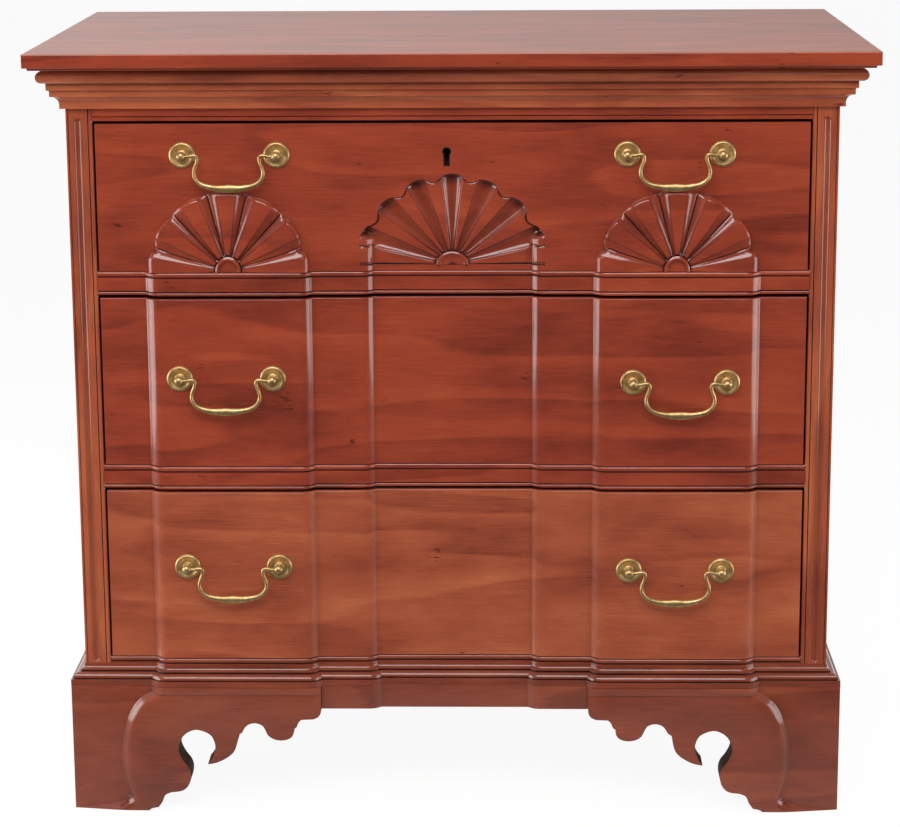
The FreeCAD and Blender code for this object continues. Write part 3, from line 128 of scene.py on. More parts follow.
# old American cherry under spirit varnish: red-brown, close-grained, with a few gum flecks
CHERRY = {
    "dark": "#6A281A",
    "middle": "#903924",
    "light": "#A5482A",
    # grime: the colour that dirt and painted shade give to corners and hollows
    "grime": "#2A0D09",
    "gum": "#3E160E",
    "ring": 16,  # mm of board to a growth ring
    "ring_share": 0.10,
    "fibre_share": 0.26,
    "roughness": (0.28, 0.38),
    "coat": 1.0,
    "grime_share": 0.92,
    "reach": 7,  # mm that dirt and painted shade spread from a corner
    "dirt": (0.35, 0.95),  # how open a place is where dirt and painted shade are thickest, and where they end
    "by_board": False,
    "bump": 0.06,
}
# base, feet and bottom rail, browner where they have lost their red
FADED = dict(CHERRY, dark="#642C1D", middle="#833C28", light="#974B30")
# stiles, cornice and bottom drawer, the lightest boards of the front
TAWNY = dict(CHERRY, dark="#783424", middle="#9F4D31", light="#B5633F")
# carving, where dirt and painted shade fill the wide hollows too
CARVED = dict(CHERRY, reach=14, dirt=(0.60, 0.96))
# the top, painted lighter for the light that falls on it from above, and with its varnish worn thin
TOP_PAINTED_LIGHT = dict(CHERRY, dark="#A04A31", middle="#C46242", light="#D47856", coat=0.35)
# bare yellow poplar, planed and darkened by age: the drawer linings and the back
POPLAR = dict(CHERRY, dark="#84563A", middle="#A6784F", light="#C0976B", grime="#4A3521",
              gum="#6B4A2A", ring=7, ring_share=0.35, fibre_share=0.35, roughness=(0.62, 0.78),
              coat=0.0, grime_share=0.6, reach=6, by_board=True, bump=0.25)


def timber(name, kind, grain, cut):
    """Wood sawn along one axis. The cut picks the part of the log that the board comes from."""
    made, tree, shader = material(name)
    place = add(tree, "TexCoord").outputs["Object"]
    if kind["by_board"]:
        # boards of one piece that aren't joined get wood of their own
        board = add(tree, "NewGeometry").outputs["Random Per Island"]
        place = add(tree, "VectorMath", {"operation": "ADD"}, {0: place, 1: board}).outputs[0]
    log = add(tree, "Mapping", {"vector_type": "POINT", "Rotation": TURNS[grain],
                                "Location": [step * cut for step in LOG_STEP]},
              {"Vector": place}).outputs[0]

    # growth rings: contour lines of a long slow noise, one ring to each few millimetres of board
    slow = add(tree, "Mapping", {"Scale": (0.14, 1.0, 1.0)}, {"Vector": log}).outputs[0]
    swell = add(tree, "TexNoise", {"Scale": 1 / (SWELL * MM), "Detail": 2.0, "Roughness": 0.45},
                {"Vector": slow}).outputs["Fac"]
    rings = add(tree, "Math", {"operation": "MULTIPLY", 1: SWELL / kind["ring"]},
                {0: swell}).outputs[0]
    phase = add(tree, "Math", {"operation": "FRACT"}, {0: rings}).outputs[0]
    ring = add(tree, "ValToRGB", {"stops": [(0.0, GREY[0.0]), (0.55, GREY[0.5]), (0.9, GREY[1.0]),
                                            (1.0, GREY[0.0])]}, {"Fac": phase}).outputs["Color"]

    # fibres: 0.9 mm across and some 35 mm long, drawn coarser than real ones so that they show
    long = add(tree, "Mapping", {"Scale": (0.026, 1.0, 1.0)}, {"Vector": log}).outputs[0]
    fibre = add(tree, "TexNoise", {"Scale": 1 / (0.9 * MM), "Detail": 3.0, "Roughness": 0.6},
                {"Vector": long}).outputs["Fac"]

    # cloudy patches of tone, about 55 mm across and 145 mm along the grain
    drawn = add(tree, "Mapping", {"Scale": (0.38, 1.0, 1.0)}, {"Vector": log}).outputs[0]
    cloud = add(tree, "TexNoise", {"Scale": 1 / (55 * MM), "Detail": 5.0, "Roughness": 0.6},
                {"Vector": drawn}).outputs["Fac"]

    rings_part = add(tree, "Math", {"operation": "MULTIPLY", 1: kind["ring_share"]},
                     {0: ring}).outputs[0]
    fibre_part = add(tree, "Math", {"operation": "MULTIPLY_ADD", 1: kind["fibre_share"]},
                     {0: fibre, 2: rings_part}).outputs[0]
    tone = add(tree, "Math", {"operation": "MULTIPLY_ADD", 1: CLOUD_SHARE},
               {0: cloud, 2: fibre_part}).outputs[0]
    shades = [(0.26, colour(kind["dark"])), (0.41, colour(kind["middle"])),
              (0.56, colour(kind["light"]))]
    wood = add(tree, "ValToRGB", {"stops": shades}, {"Fac": tone}).outputs["Color"]

    # gum flecks: short dark dashes about 1 mm by 6 mm, far apart
    dash = add(tree, "Mapping", {"Scale": (0.2, 1.0, 1.0)}, {"Vector": log}).outputs[0]
    fleck = add(tree, "TexNoise", {"Scale": 1 / (2.4 * MM), "Detail": 1.0, "Roughness": 0.4},
                {"Vector": dash}).outputs["Fac"]
    patch = add(tree, "TexNoise", {"Scale": 1 / (38 * MM), "Detail": 1.0},
                {"Vector": log}).outputs["Fac"]
    both = add(tree, "Math", {"operation": "MULTIPLY"}, {0: fleck, 1: patch}).outputs[0]
    gum = add(tree, "ValToRGB", {"stops": [(0.485, GREY[0.0]), (0.53, GREY[0.8])]},
              {"Fac": both}).outputs["Color"]
    flecked = add(tree, "Mix", {"data_type": "RGBA", 7: colour(kind["gum"])},
                  {0: gum, 6: wood}).outputs[2]

    # old dirt and dark varnish in the corners and hollows, and painted shade there: the more
    # sheltered a place, the darker it is painted
    shelter = add(tree, "AmbientOcclusion", {"samples": 8, "only_local": True,
                                             "Distance": kind["reach"] * MM}).outputs["AO"]
    thickest, none = kind["dirt"]
    grime = add(tree, "ValToRGB", {"stops": [(thickest, GREY[1.0]), (none, GREY[0.0])]},
                {"Fac": shelter}).outputs["Color"]
    grime_and_shade_part = add(tree, "Math", {"operation": "MULTIPLY", 1: kind["grime_share"]},
                     {0: grime}).outputs[0]
    dirty_and_shaded = add(tree, "Mix", {"data_type": "RGBA", 7: colour(kind["grime"])},
                {0: grime_and_shade_part, 6: flecked}).outputs[2]

    smoothest, roughest = kind["roughness"]
    rough = add(tree, "MapRange", {"To Min": smoothest, "To Max": roughest},
                {"Value": cloud}).outputs[0]
    bump = add(tree, "Bump", {"Strength": kind["bump"], "Distance": 0.4 * MM},
               {"Height": fibre}).outputs[0]
    lay_on(tree, shader, dirty_and_shaded, rough, bump)
    shader.inputs["Coat Weight"].default_value = kind["coat"]
    shader.inputs["Coat Roughness"].default_value = 0.1
    shader.inputs["Specular IOR Level"].default_value = 0.25
    return made


def cast_brass(name, shades):
    """Old cast brass, hand-filed and rubbed bright on the high places, brown in the hollows."""
    low, middle, high = (colour(shade) for shade in shades)
    made, tree, shader = material(name)
    place = add(tree, "TexCoord").outputs["Object"]
    cloud = add(tree, "TexNoise", {"Scale": 1 / (7 * MM), "Detail": 4.0, "Roughness": 0.6},
                {"Vector": place}).outputs["Fac"]
    pits = add(tree, "TexNoise", {"Scale": 1 / (1.2 * MM), "Detail": 3.0},
               {"Vector": place}).outputs["Fac"]
    metal = add(tree, "ValToRGB", {"stops": [(0.35, low), (0.55, middle), (0.75, high)]},
                {"Fac": cloud}).outputs["Color"]
    shelter = add(tree, "AmbientOcclusion", {"samples": 8, "only_local": True,
                                             "Distance": 4 * MM}).outputs["AO"]
    tarnish = add(tree, "ValToRGB", {"stops": [(0.3, GREY[1.0]), (0.85, GREY[0.0])]},
                  {"Fac": shelter}).outputs["Color"]
    aged = add(tree, "Mix", {"data_type": "RGBA", 7: colour("#54402A")},
               {0: tarnish, 6: metal}).outputs[2]
    rough = add(tree, "MapRange", {"To Min": 0.38, "To Max": 0.56}, {"Value": pits}).outputs[0]
    bump = add(tree, "Bump", {"Strength": 0.15, "Distance": 0.3 * MM}, {"Height": pits}).outputs[0]
    lay_on(tree, shader, aged, rough, bump)
    shader.inputs["Metallic"].default_value = 1.0
    return made


def forged_iron(name):
    """Hammered sheet iron, dull grey-brown with a thin even rust."""
    made, tree, shader = material(name)
    place = add(tree, "TexCoord").outputs["Object"]
    cloud = add(tree, "TexNoise", {"Scale": 1 / (9 * MM), "Detail": 5.0, "Roughness": 0.65},
                {"Vector": place}).outputs["Fac"]
    shades = [(0.35, colour("#2E2A28")), (0.6, colour("#4A423C")), (0.78, colour("#5E4431"))]
    skin = add(tree, "ValToRGB", {"stops": shades}, {"Fac": cloud}).outputs["Color"]
    rough = add(tree, "MapRange", {"To Min": 0.45, "To Max": 0.7}, {"Value": cloud}).outputs[0]
    bump = add(tree, "Bump", {"Strength": 0.3, "Distance": 0.4 * MM}, {"Height": cloud}).outputs[0]
    lay_on(tree, shader, skin, rough, bump)
    shader.inputs["Metallic"].default_value = 0.85
    return made


UPRIGHT = ("case_side", "stile", "foot_blocks")
FRONT_TO_BACK = ("_side_", "cornice_returns", "base_moulding_returns", "drawer_runners",
                 "drawer_guides", "foot_sides")
BROWNER = ("bottom_rail", "base_moulding", "apron", "foot")
LIGHTER = ("stile", "drawer_bottom", "cornice")
BRASS = cast_brass("cast_brass", ("#C09C64", "#DABA82", "#EBD5A8"))
# the keyhole's lining: much darker brass, for its tarnish and as painted shade inside the keyhole
KEYHOLE_BRASS = cast_brass("tarnished_brass", ("#3D3527", "#5A4E38", "#75664A"))
IRON = forged_iron("forged_iron")
TIMBER = {"cherry": ("varnished_cherry_", CHERRY), "secondary_wood": ("bare_poplar_", POPLAR)}


def finish_for(node, cut):
    """The material of a CAD node and of the piece that stands for it."""
    slot = SLOTS[node]
    if slot == "brass":
        return KEYHOLE_BRASS if node == "escutcheon" else BRASS
    if slot == "iron":
        return IRON
    grain = "x"
    if node.startswith(UPRIGHT):
        grain = "z"
    elif any(word in node for word in FRONT_TO_BACK):
        grain = "y"
    words, kind = TIMBER[slot]
    if slot == "cherry" and node.startswith(BROWNER):
        kind = FADED
    elif slot == "cherry" and node.startswith(LIGHTER):
        kind = TAWNY
    elif node in ("shells", "drawer_top_front"):
        kind = CARVED
    elif node == "top_board":
        kind = TOP_PAINTED_LIGHT
    return timber(words + node, kind, grain, cut)


TOP_EDGE = timber("varnished_cherry_top_edge", CHERRY, grain="x", cut=51)
# scroll-sawn edges, never varnished, and painted very dark: painted shade on the inner faces of the
# scrolls
BARE_AND_SHADED = dict(FADED, dark="#2A110B", middle="#3A1A10", light="#4A2416", coat=0.0,
            roughness=(0.6, 0.75))
SAWN_IN_SHADE = timber("sawn_cherry_edge", BARE_AND_SHADED, grain="x", cut=7)
FINISHES = {}
for cut, name in enumerate(sorted(frame["nodes"]), 1):
    FINISHES[name] = finish_for(name, cut)
    data = frame["nodes"][name].data
    data.materials.clear()
    data.materials.append(FINISHES[name])


# ---------------- making meshes


def metres(x, y, z):
    """A drawn point in metres."""
    return MM * x, MM * y, MM * z


def placed(name, data):
    """A new object in the scene."""
    thing = bpy.data.objects.new(name, data)
    bpy.context.scene.collection.objects.link(thing)
    return thing


def as_object(shape, name):
    """A bmesh as an object, smooth but for the edges that turn more than the crease."""
    mesh = bpy.data.meshes.new(name)
    shape.to_mesh(mesh)
    shape.free()
    mesh.set_sharp_from_angle(angle=math.radians(CREASE))
    return placed(name, mesh)


def made_from(shape, name):
    """An object from a bmesh, cleared of double and loose points and with its faces outwards."""
    bmesh.ops.remove_doubles(shape, verts=shape.verts, dist=0.001 * MM)
    loose = [vert for vert in shape.verts if not vert.link_faces]
    bmesh.ops.delete(shape, geom=loose, context="VERTS")
    bmesh.ops.recalc_face_normals(shape, faces=shape.faces)
    return as_object(shape, name)


def stand_for(thing, *nodes):
    """Dress a piece, set it on its body and let it stand for its CAD nodes."""
    first = nodes[0]
    thing.data.materials.clear()
    thing.data.materials.append(FINISHES[first])
    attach(thing, BODIES[first])
    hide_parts(*nodes)


def joined(name, *things):
    """Several objects as one."""
    shape = bmesh.new()
    for thing in things:
        shape.from_mesh(thing.data)
        bpy.data.objects.remove(thing)
    return as_object(shape, name)


def applied(thing, step):
    """Make a modifier's result the mesh itself."""
    bpy.context.view_layer.update()
    view = bpy.context.evaluated_depsgraph_get()
    result = bpy.data.meshes.new_from_object(thing.evaluated_get(view))
    thing.modifiers.remove(step)
    thing.data = result


def carve(base, tool, operation="DIFFERENCE"):
    """Cut a tool away from a base, or add it, and use the tool up."""
    step = base.modifiers.new(operation, "BOOLEAN")
    step.operation = operation
    step.solver = "EXACT"
    step.object = tool
    applied(base, step)
    bpy.data.objects.remove(tool)


def levelled(thing, crease=CREASE, plane=None):
    """Smooth shading that leaves large faces flat, and those in one upright plane quite flat."""
    thing.data.set_sharp_from_angle(angle=math.radians(crease))
    if plane is not None:
        shape = bmesh.new()
        shape.from_mesh(thing.data)
        for face in shape.faces:
            if all(abs(vert.co.y - plane * MM) < 0.005 * MM for vert in face.verts):
                for edge in face.edges:
                    edge.smooth = False
        shape.to_mesh(thing.data)
        shape.free()
    step = thing.modifiers.new("flats", "WEIGHTED_NORMAL")
    step.keep_sharp = True
    step.weight = 100
    applied(thing, step)


def copy_of(node, name):
    """The node's own shape as a new object."""
    shape = bmesh.new()
    shape.from_mesh(frame["nodes"][node].data)
    return made_from(shape, name)


def rubbed(shape, edges, width, segments):
    """Round off edges of a bmesh."""
    bmesh.ops.bevel(shape, geom=edges, offset=width * MM, segments=segments, profile=0.5,
                    affect="EDGES", clamp_overlap=True)


def eased(node, name, width):
    """The node's own shape with its square edges rubbed down."""
    thing = copy_of(node, name)
    shape = bmesh.new()
    shape.from_mesh(thing.data)
    bmesh.ops.dissolve_limit(shape, angle_limit=0.005, verts=shape.verts, edges=shape.edges)
    square = [edge for edge in shape.edges if edge.calc_face_angle(0) > 0.9]
    rubbed(shape, square, width, segments=3)
    shape.to_mesh(thing.data)
    shape.free()
    levelled(thing)
    return thing


def skin(shape, one, two, closed=True):
    """Faces between two rows of points, or between two closed rings."""
    for i in range(len(one) if closed else len(one) - 1):
        j = (i + 1) % len(one)
        shape.faces.new((one[i], one[j], two[j], two[i]))


def tube(shape, rings):
    """Faces from ring to ring, and over both ends."""
    for one, two in zip(rings, rings[1:]):
        skin(shape, one, two)
    shape.faces.new(rings[0])
    shape.faces.new(rings[-1])


def block(low, high):
    """A plain box, used only as a tool or a filling."""
    shape = bmesh.new()
    verts = [shape.verts.new(metres(*corner)) for corner in product(*zip(low, high))]
    for side in ((0, 1, 3, 2), (4, 6, 7, 5), (0, 4, 5, 1), (2, 3, 7, 6), (0, 2, 6, 4),
                 (1, 5, 7, 3)):
        shape.faces.new([verts[i] for i in side])
    return made_from(shape, "block")


def swept(name, plan, profile, back=None):
    """A moulding along the front. The plan gives place, distance forward and spread for each
    point; the profile gives projection and height, upwards. A back closes it at one depth."""
    shape = bmesh.new()
    rings = []
    for x, forward, spread in plan:
        ring = [(x + spread * SPREAD * out, FACE - forward - out, z) for out, z in profile]
        if back is not None:
            ring += [(x, back, profile[-1][1]), (x, back, profile[0][1])]
        rings.append([shape.verts.new(metres(*point)) for point in ring])
    tube(shape, rings)
    return made_from(shape, name)


def slab(name, sheet, depth):
    """A solid between a sheet of points and its shadow on an upright plane."""
    shape = bmesh.new()
    near = [[shape.verts.new(metres(x, y, z)) for x, y, z in line] for line in sheet]
    far = [[shape.verts.new(metres(x, depth, z)) for x, y, z in line] for line in sheet]
    strips = [pair for side in (near, far) for pair in zip(side, side[1:])]
    strips += [(near[0], far[0]), (near[-1], far[-1])]
    strips += [([line[end] for line in near], [line[end] for line in far]) for end in (0, -1)]
    for one, two in strips:
        skin(shape, one, two, closed=False)
    return made_from(shape, name)


def turned(name, centre, profile, steps=40):
    """A piece turned on a lathe about a line that points forward. The profile gives radius and
    distance forward of the centre."""
    shape = bmesh.new()
    x, y, z = centre
    rings = []
    for radius, out in profile:
        angles = [2 * math.pi * i / steps for i in range(steps)]
        ring = [(x + radius * math.cos(a), y - out, z + radius * math.sin(a)) for a in angles]
        rings.append([shape.verts.new(metres(*point)) for point in ring])
    tube(shape, rings)
    return made_from(shape, name)


# ---------------- the blocked front


def ogee(run, rise):
    """Points across an ogee from its low side: a tight hollow, then a wide round."""
    lean = 2 * math.atan2(rise, run)
    both = run / math.sin(lean)
    tight, wide = HOLLOW_SHARE * both, (1 - HOLLOW_SHARE) * both
    low = [lean * i / HOLLOW_STEPS for i in range(HOLLOW_STEPS + 1)]
    high = [lean * (1 - i / ROUND_STEPS) for i in range(1, ROUND_STEPS + 1)]
    return ([(tight * math.sin(a), tight * (1 - math.cos(a))) for a in low]
            + [(run - wide * math.sin(a), rise - wide * (1 - math.cos(a))) for a in high])


def up_step(step, across):
    """Height on a step at a distance from its low side."""
    if across <= 0:
        return 0.0
    for (x0, y0), (x1, y1) in zip(step, step[1:]):
        if across <= x1:
            return y0 + (y1 - y0) * (across - x0) / max(x1 - x0, 1e-9)
    return step[-1][1]


BLOCK_STEP = ogee(BLOCK_RUN, BLOCK_RISE)
RECESS_STEP = ogee(RECESS_RUN, RECESS_DEPTH)
# the left half's three ogees, from left to right: place, distance forward, and which way a
# projecting moulding carries each point
OUTER_OGEE = [(x - BLOCK_RUN / 2 - BLOCK_OUTER, up, -1) for x, up in BLOCK_STEP]
INNER_OGEE = [(BLOCK_RUN / 2 - BLOCK_INNER - x, up, 1) for x, up in reversed(BLOCK_STEP)]
RECESS_OGEE = [(RECESS_RUN / 2 - RECESS_EDGE - x, up - RECESS_DEPTH, 1)
               for x, up in reversed(RECESS_STEP)]


def mirrored(line):
    """A half plan with its other half."""
    return line + [(-x, forward, -spread) for x, forward, spread in reversed(line)]


def front_plan(half, end_spread=0):
    """The blocked front from left to right."""
    return mirrored([(-half, 0.0, end_spread)] + OUTER_OGEE + INNER_OGEE + RECESS_OGEE)


def arris(low, high):
    """A plain board's face with both edges eased."""
    inset = 0.3 * ARRIS
    return [(-ARRIS, low), (-inset, low + inset), (0, low + ARRIS),
            (0, high - ARRIS), (-inset, high - inset), (-ARRIS, high)]


def bead(low, high, fall=1.7):
    """A small round between two heights."""
    middle, half = (low + high) / 2, (high - low) / 2
    angles = [math.pi * (i / CURVE_STEPS - 0.5) for i in range(CURVE_STEPS + 1)]
    return [(fall * (math.cos(a) - 1), middle + half * math.sin(a)) for a in angles]


QUIRK = -1.9  # depth of the groove beside a bead


def blade(level, low, high):
    """A drawer blade: a bead along each edge with a quirk beside it."""
    flat = [(QUIRK, low + 4.3), (0, low + 4.9), (0, high - 6.4), (QUIRK, high - 5.9)]
    profile = bead(low, low + 3.9) + flat + bead(high - 5.4, high)
    piece = swept(f"{level}_blade", front_plan(RAIL_HALF), profile, back=RAIL_BACK)
    stand_for(piece, f"rail_{level}")


for level, (low, high) in BLADES.items():
    blade(level, low, high)

BOTTOM_RAIL = [(0, 147.6), (0, 170.4), (QUIRK, 170.9)] + bead(171.5, 176.5)
bottom_rail = swept("bottom_front_rail", front_plan(RAIL_HALF), BOTTOM_RAIL, back=RAIL_BACK)
stand_for(bottom_rail, "bottom_rail")


# ---------------- the top board

top = eased("top_board", "top_board", 1.3)
stand_for(top, "top_board")
top.data.materials.append(TOP_EDGE)  # only the upper side gets the lighter colour: painted light from above
for face in top.data.polygons:
    face.material_index = 0 if face.normal.z > 0.6 else 1


# ---------------- base, skirt and drawer fronts


def cove(start, end, bulge):
    """Points on a curve from one profile point to another that swells out by the bulge, or in if
    it is negative."""
    (x0, z0), (x1, z1) = start, end
    length = math.hypot(x1 - x0, z1 - z0)
    side = ((z1 - z0) / length, (x0 - x1) / length)
    points = []
    for i in range(CURVE_STEPS + 1):
        share = i / CURVE_STEPS
        lift = bulge * 4 * share * (1 - share)
        points.append((x0 + (x1 - x0) * share + side[0] * lift,
                       z0 + (z1 - z0) * share + side[1] * lift))
    return points


BASE = [(0, BASE_LOW), (14.7, BASE_LOW), (15, 147.8), (15, 153.7), (14.7, 154), (11.2, 154),
        (11.2, 154.8)]
BASE += cove((12.6, 155.0), (5.8, 160.6), 1.9)
BASE += [(3.6, 160.8), (3.6, 161.8), (5, 161.9), (5, 162.8)]
BASE += cove((4.9, 162.9), (1.2, 168.2), -1.3) + [(1, 169), (0, 169)]
MITRE = 3 * LEFT  # spread that carries an end out as far as the moulding projects
base = swept("front_base_moulding", front_plan(BASE_HALF, end_spread=MITRE), BASE)
stand_for(base, "base_moulding_front")

# the skirt between the feet; its ends tuck behind the brackets
SKIRT = [(13.4, 119.5), (14.1, 119.8), (14.4, 120.5), (14.4, BASE_LOW)]
SKIRT_BACK = -209.4
skirt = swept("skirt", mirrored([(BRACKET_END, 0.0, 0)] + RECESS_OGEE), SKIRT, back=SKIRT_BACK)
stand_for(skirt, "apron")

CUT_PLANE, JOIN_PLANE = -206, -204  # the solid's face goes as far as one, the new one to the other


def drawer_front(level, low, high):
    """A blocked drawer front: the joinery of the solid one behind a shaped and eased face."""
    node = f"drawer_{level}_front"
    thing = copy_of(node, f"{level}_drawer_front")
    carve(thing, block((-400, -240, low - 5), (400, CUT_PLANE, high + 5)))
    face = swept("face", front_plan(DRAWER_HALF), arris(low, high), back=JOIN_PLANE)
    carve(thing, face, "UNION")
    levelled(thing)
    stand_for(thing, node)


for level, (low, high) in DRAWERS.items():
    drawer_front(level, low, high)


# ---------------- the carved shells


def smooth(value):
    """0 to 1 with level ends."""
    value = min(1.0, max(0.0, value))
    return value * value * (3 - 2 * value)


def fan_columns(pitch, stations):
    """Angles of a shell's columns, from right to left. Stations are places between the middle of
    one ray, 0, and the middle of the next, 1, and 0.5 is where the two meet."""
    reach = 90 / pitch
    places = {-reach, reach}
    for ray in range(-5, 5):
        places.update(ray + station for station in stations if abs(ray + station) < reach)
    return [90 + pitch * place for place in sorted(places)]


# rows of a shell: shares of the hub's radius, then of the way from the last of them to the rim
HUB_ROWS = (0.0, 0.4, 0.68, 0.74, 0.80, 0.88, 0.95, 1.0, 1.06, 1.12)
RIM_ROWS = (0.04, 0.1, 0.18, 0.28, 0.38, 0.48, 0.58, 0.68, 0.77, 0.84, 0.89, 0.925, 0.945, 0.96,
            0.972, 0.984, 0.993, 1.0)
# of a hub's radius: its sunk eye, the ring's crown and shoulder, and the groove outside it
HUB_EYE, HUB_CROWN, HUB_SHOULDER, HUB_EDGE = 0.68, 0.80, 0.86, 1.06
SHOULDER_FALL, GROOVE_FALL = 1.2, 2.4


def shell_sheet(centre, columns, hub, rim, relief):
    """A fan of points: columns along the rays, rows round the hub and out to the rim. The hub
    gives its half width and its height."""
    half, height = hub
    sheet = []
    for angle in columns:
        turn = math.radians(angle)
        start = half / math.hypot(math.cos(turn), half / height * math.sin(turn))
        end = rim(angle)
        foot = start * HUB_ROWS[-1]
        radii = [start * row for row in HUB_ROWS] + [foot + (end - foot) * row for row in RIM_ROWS]
        sheet.append([(centre[0] + r * math.cos(turn), FACE - relief(angle, r, start, end),
                       centre[1] + r * math.sin(turn)) for r in radii])
    return sheet


def hub_height(share, ground, ring):
    """A half-round hub: a ring round a sunk eye, and a groove outside it."""
    if share < HUB_EYE:
        return ground
    if share < HUB_CROWN:
        return ground + (ring - ground) * smooth((share - HUB_EYE) / (HUB_CROWN - HUB_EYE))
    if share < 1:
        return ring - SHOULDER_FALL * smooth((share - HUB_SHOULDER) / (1 - HUB_SHOULDER))
    return ring - SHOULDER_FALL - GROOVE_FALL * smooth((share - 1) / (HUB_EDGE - 1))


def off_ray(angle, pitch):
    """How far a direction lies from the middle of its ray: 0 there, and 0.5 where two rays meet."""
    place = (angle - 90) / pitch
    return abs(place - round(place))


# the two outer shells
LOBE_PITCH = 28.5  # degrees from one lobe to the next
LOBE_STATIONS = (0, 0.08, 0.16, 0.215, 0.233, 0.245, 0.262, 0.29, 0.33, 0.38, 0.43, 0.475, 0.49,
                 0.5, 0.51, 0.525, 0.57, 0.62, 0.67, 0.71, 0.738, 0.755, 0.767, 0.785, 0.84, 0.92)
LOBE_FLAT = 0.233  # of the pitch, from a lobe's middle to the edge of its flat
LOBE_HUB = (14, 17)
SHELL_PLACE = (245.6, 620.8)
SHELL_HALF = 88.5
SCALLOPS = [(-20.5, 87.6), (20.5, 87.6), (46.5, 85.0), (73.5, 81.0)]  # cusps: degrees, radius
LOBE_REACH = 89.6
END_REACH = 11  # what the end lobe gains on the last cusp
CREST, CREST_GAIN, VALLEY = 5.6, 3.6, 6.4  # height by the hub, gain by the rim, valley's depth
CUT_START, CUT_DEPTH = 0.47, 1.2  # the narrow cut along the bottom of a valley


def lobe_rim(angle):
    """Edge of an outer shell: a wide scallop on top, two at each side, and an upright end lobe."""
    lean = abs(angle - 90)
    upright = SHELL_HALF / max(math.sin(math.radians(lean)), 0.01)
    upright *= 1 - 0.035 * (1 - smooth((lean - 75) / 7))  # rounds the end lobe's upper corner
    for (a0, r0), (a1, r1) in zip(SCALLOPS, SCALLOPS[1:]):
        if lean <= a1:
            t = (lean - a0) / (a1 - a0)
            chord = r0 + (r1 - r0) * t
            swell = (LOBE_REACH - (r0 + r1) / 2) * (1 - (2 * t - 1) ** 2) ** 0.7
            return min(upright, chord + swell)
    last, radius = SCALLOPS[-1]
    return min(upright, radius + END_REACH * smooth((lean - last) / 4.5))


def lobe_height(angle, r, hub, rim):
    """Relief of an outer shell: broad flat lobes with dark valleys, rounded over at the rim."""
    if r <= hub * HUB_EDGE:
        return hub_height(r / hub, ground=5.4, ring=7.6)
    off, lean = off_ray(angle, LOBE_PITCH), abs(angle - 90)
    share = (r - hub) / (rim - hub)
    crest = CREST + CREST_GAIN * math.sin(math.pi / 2 * min(1, share / 0.7))
    valley = VALLEY * (0.3 + 0.7 * share) * (1 - 0.4 * smooth((lean - 60) / 12))
    into = max(0.0, (off - LOBE_FLAT) / (0.5 - LOBE_FLAT))
    height = crest - 0.4 * min(1, off / LOBE_FLAT) ** 2 - valley * (1 - (1 - into) ** 2) ** 0.8
    if off > CUT_START:
        height -= CUT_DEPTH * (off - CUT_START) / (0.5 - CUT_START)
    edge = rim - r
    soft = 4.5 + 4 * smooth((lean - 70) / 10)  # the end lobes are rounded more
    if edge < soft:
        fall = 1 - edge / soft
        height = 1.0 + (height - 1.0) * math.sqrt(max(0.0, 1 - fall ** 2.2))
    groove = smooth(1 - (r - hub) / (0.12 * hub))
    return height - 1.6 * groove


def outer_shell(side):
    """One applied shell, flat on the drawer front."""
    across, height = SHELL_PLACE
    columns = fan_columns(LOBE_PITCH, LOBE_STATIONS)
    sheet = shell_sheet((side * across, height), columns, LOBE_HUB, lobe_rim, lobe_height)
    return slab("shell", sheet, FACE)


stand_for(joined("outer_shells", outer_shell(LEFT), outer_shell(RIGHT)), "shells")

# the middle shell, carved into the top front
RAY_PITCH = 23.75
RAY_STATIONS = (0, 0.06, 0.12, 0.17, 0.21, 0.24, 0.255, 0.27, 0.285, 0.3, 0.34, 0.42, 0.5,
                0.58, 0.66, 0.70, 0.715, 0.73, 0.745, 0.76, 0.79, 0.83, 0.88, 0.94)
RAY_HOLLOW = 0.27  # of the pitch, from a ray's middle to the edge of its hollow
RAY_HUB = (17.5, 15)
RAY_REACH = 99.0
CUP = 5  # how far in from the rim a hollow's cupped end begins
BOWL_EDGE, BOWL_FALL, HOLLOW_DEPTH = 0.5, 5.0, 7.0
CREASE_DEPTH, CREASE_HALF = 1.5, 0.75  # knife cuts at the sides of each ridge
LINE_DEPTH, LINE_HALF = 1.2, 0.9  # a fine line inside the rim
LOWEST = 17.5  # degrees from level, under which the fan ends at the panel's ogee
FAN_CENTRE = (0.0, 627.0)
STEP_END = RECESS_EDGE + RECESS_RUN / 2
FALL_STEP = [(RECESS_RUN - x, RECESS_DEPTH - up) for x, up in reversed(RECESS_STEP)]


def recess_fall(x):
    """Depth of the sunk panel at a place across the front, through its ogee to the flat."""
    return up_step(FALL_STEP, STEP_END - abs(x))


def ray_rim(angle):
    """Edge of the middle shell: a round end to each hollow, and a notch at each ridge."""
    turn = math.radians(angle)
    off = off_ray(angle, RAY_PITCH)
    upright = STEP_END / max(abs(math.cos(turn)), 0.01)
    if min(angle, 180 - angle) < LOWEST:
        return upright
    if off < RAY_HOLLOW:
        edge = RAY_REACH + 2.6 * math.cos(math.pi / 2 * off / RAY_HOLLOW)
    else:
        edge = RAY_REACH - 5.5 * math.sin(math.pi / 2 * (off - RAY_HOLLOW) / (0.5 - RAY_HOLLOW))
    edge *= 1 + 0.05 * math.cos(turn) ** 4  # a little wider than it is high
    return min(edge, upright)


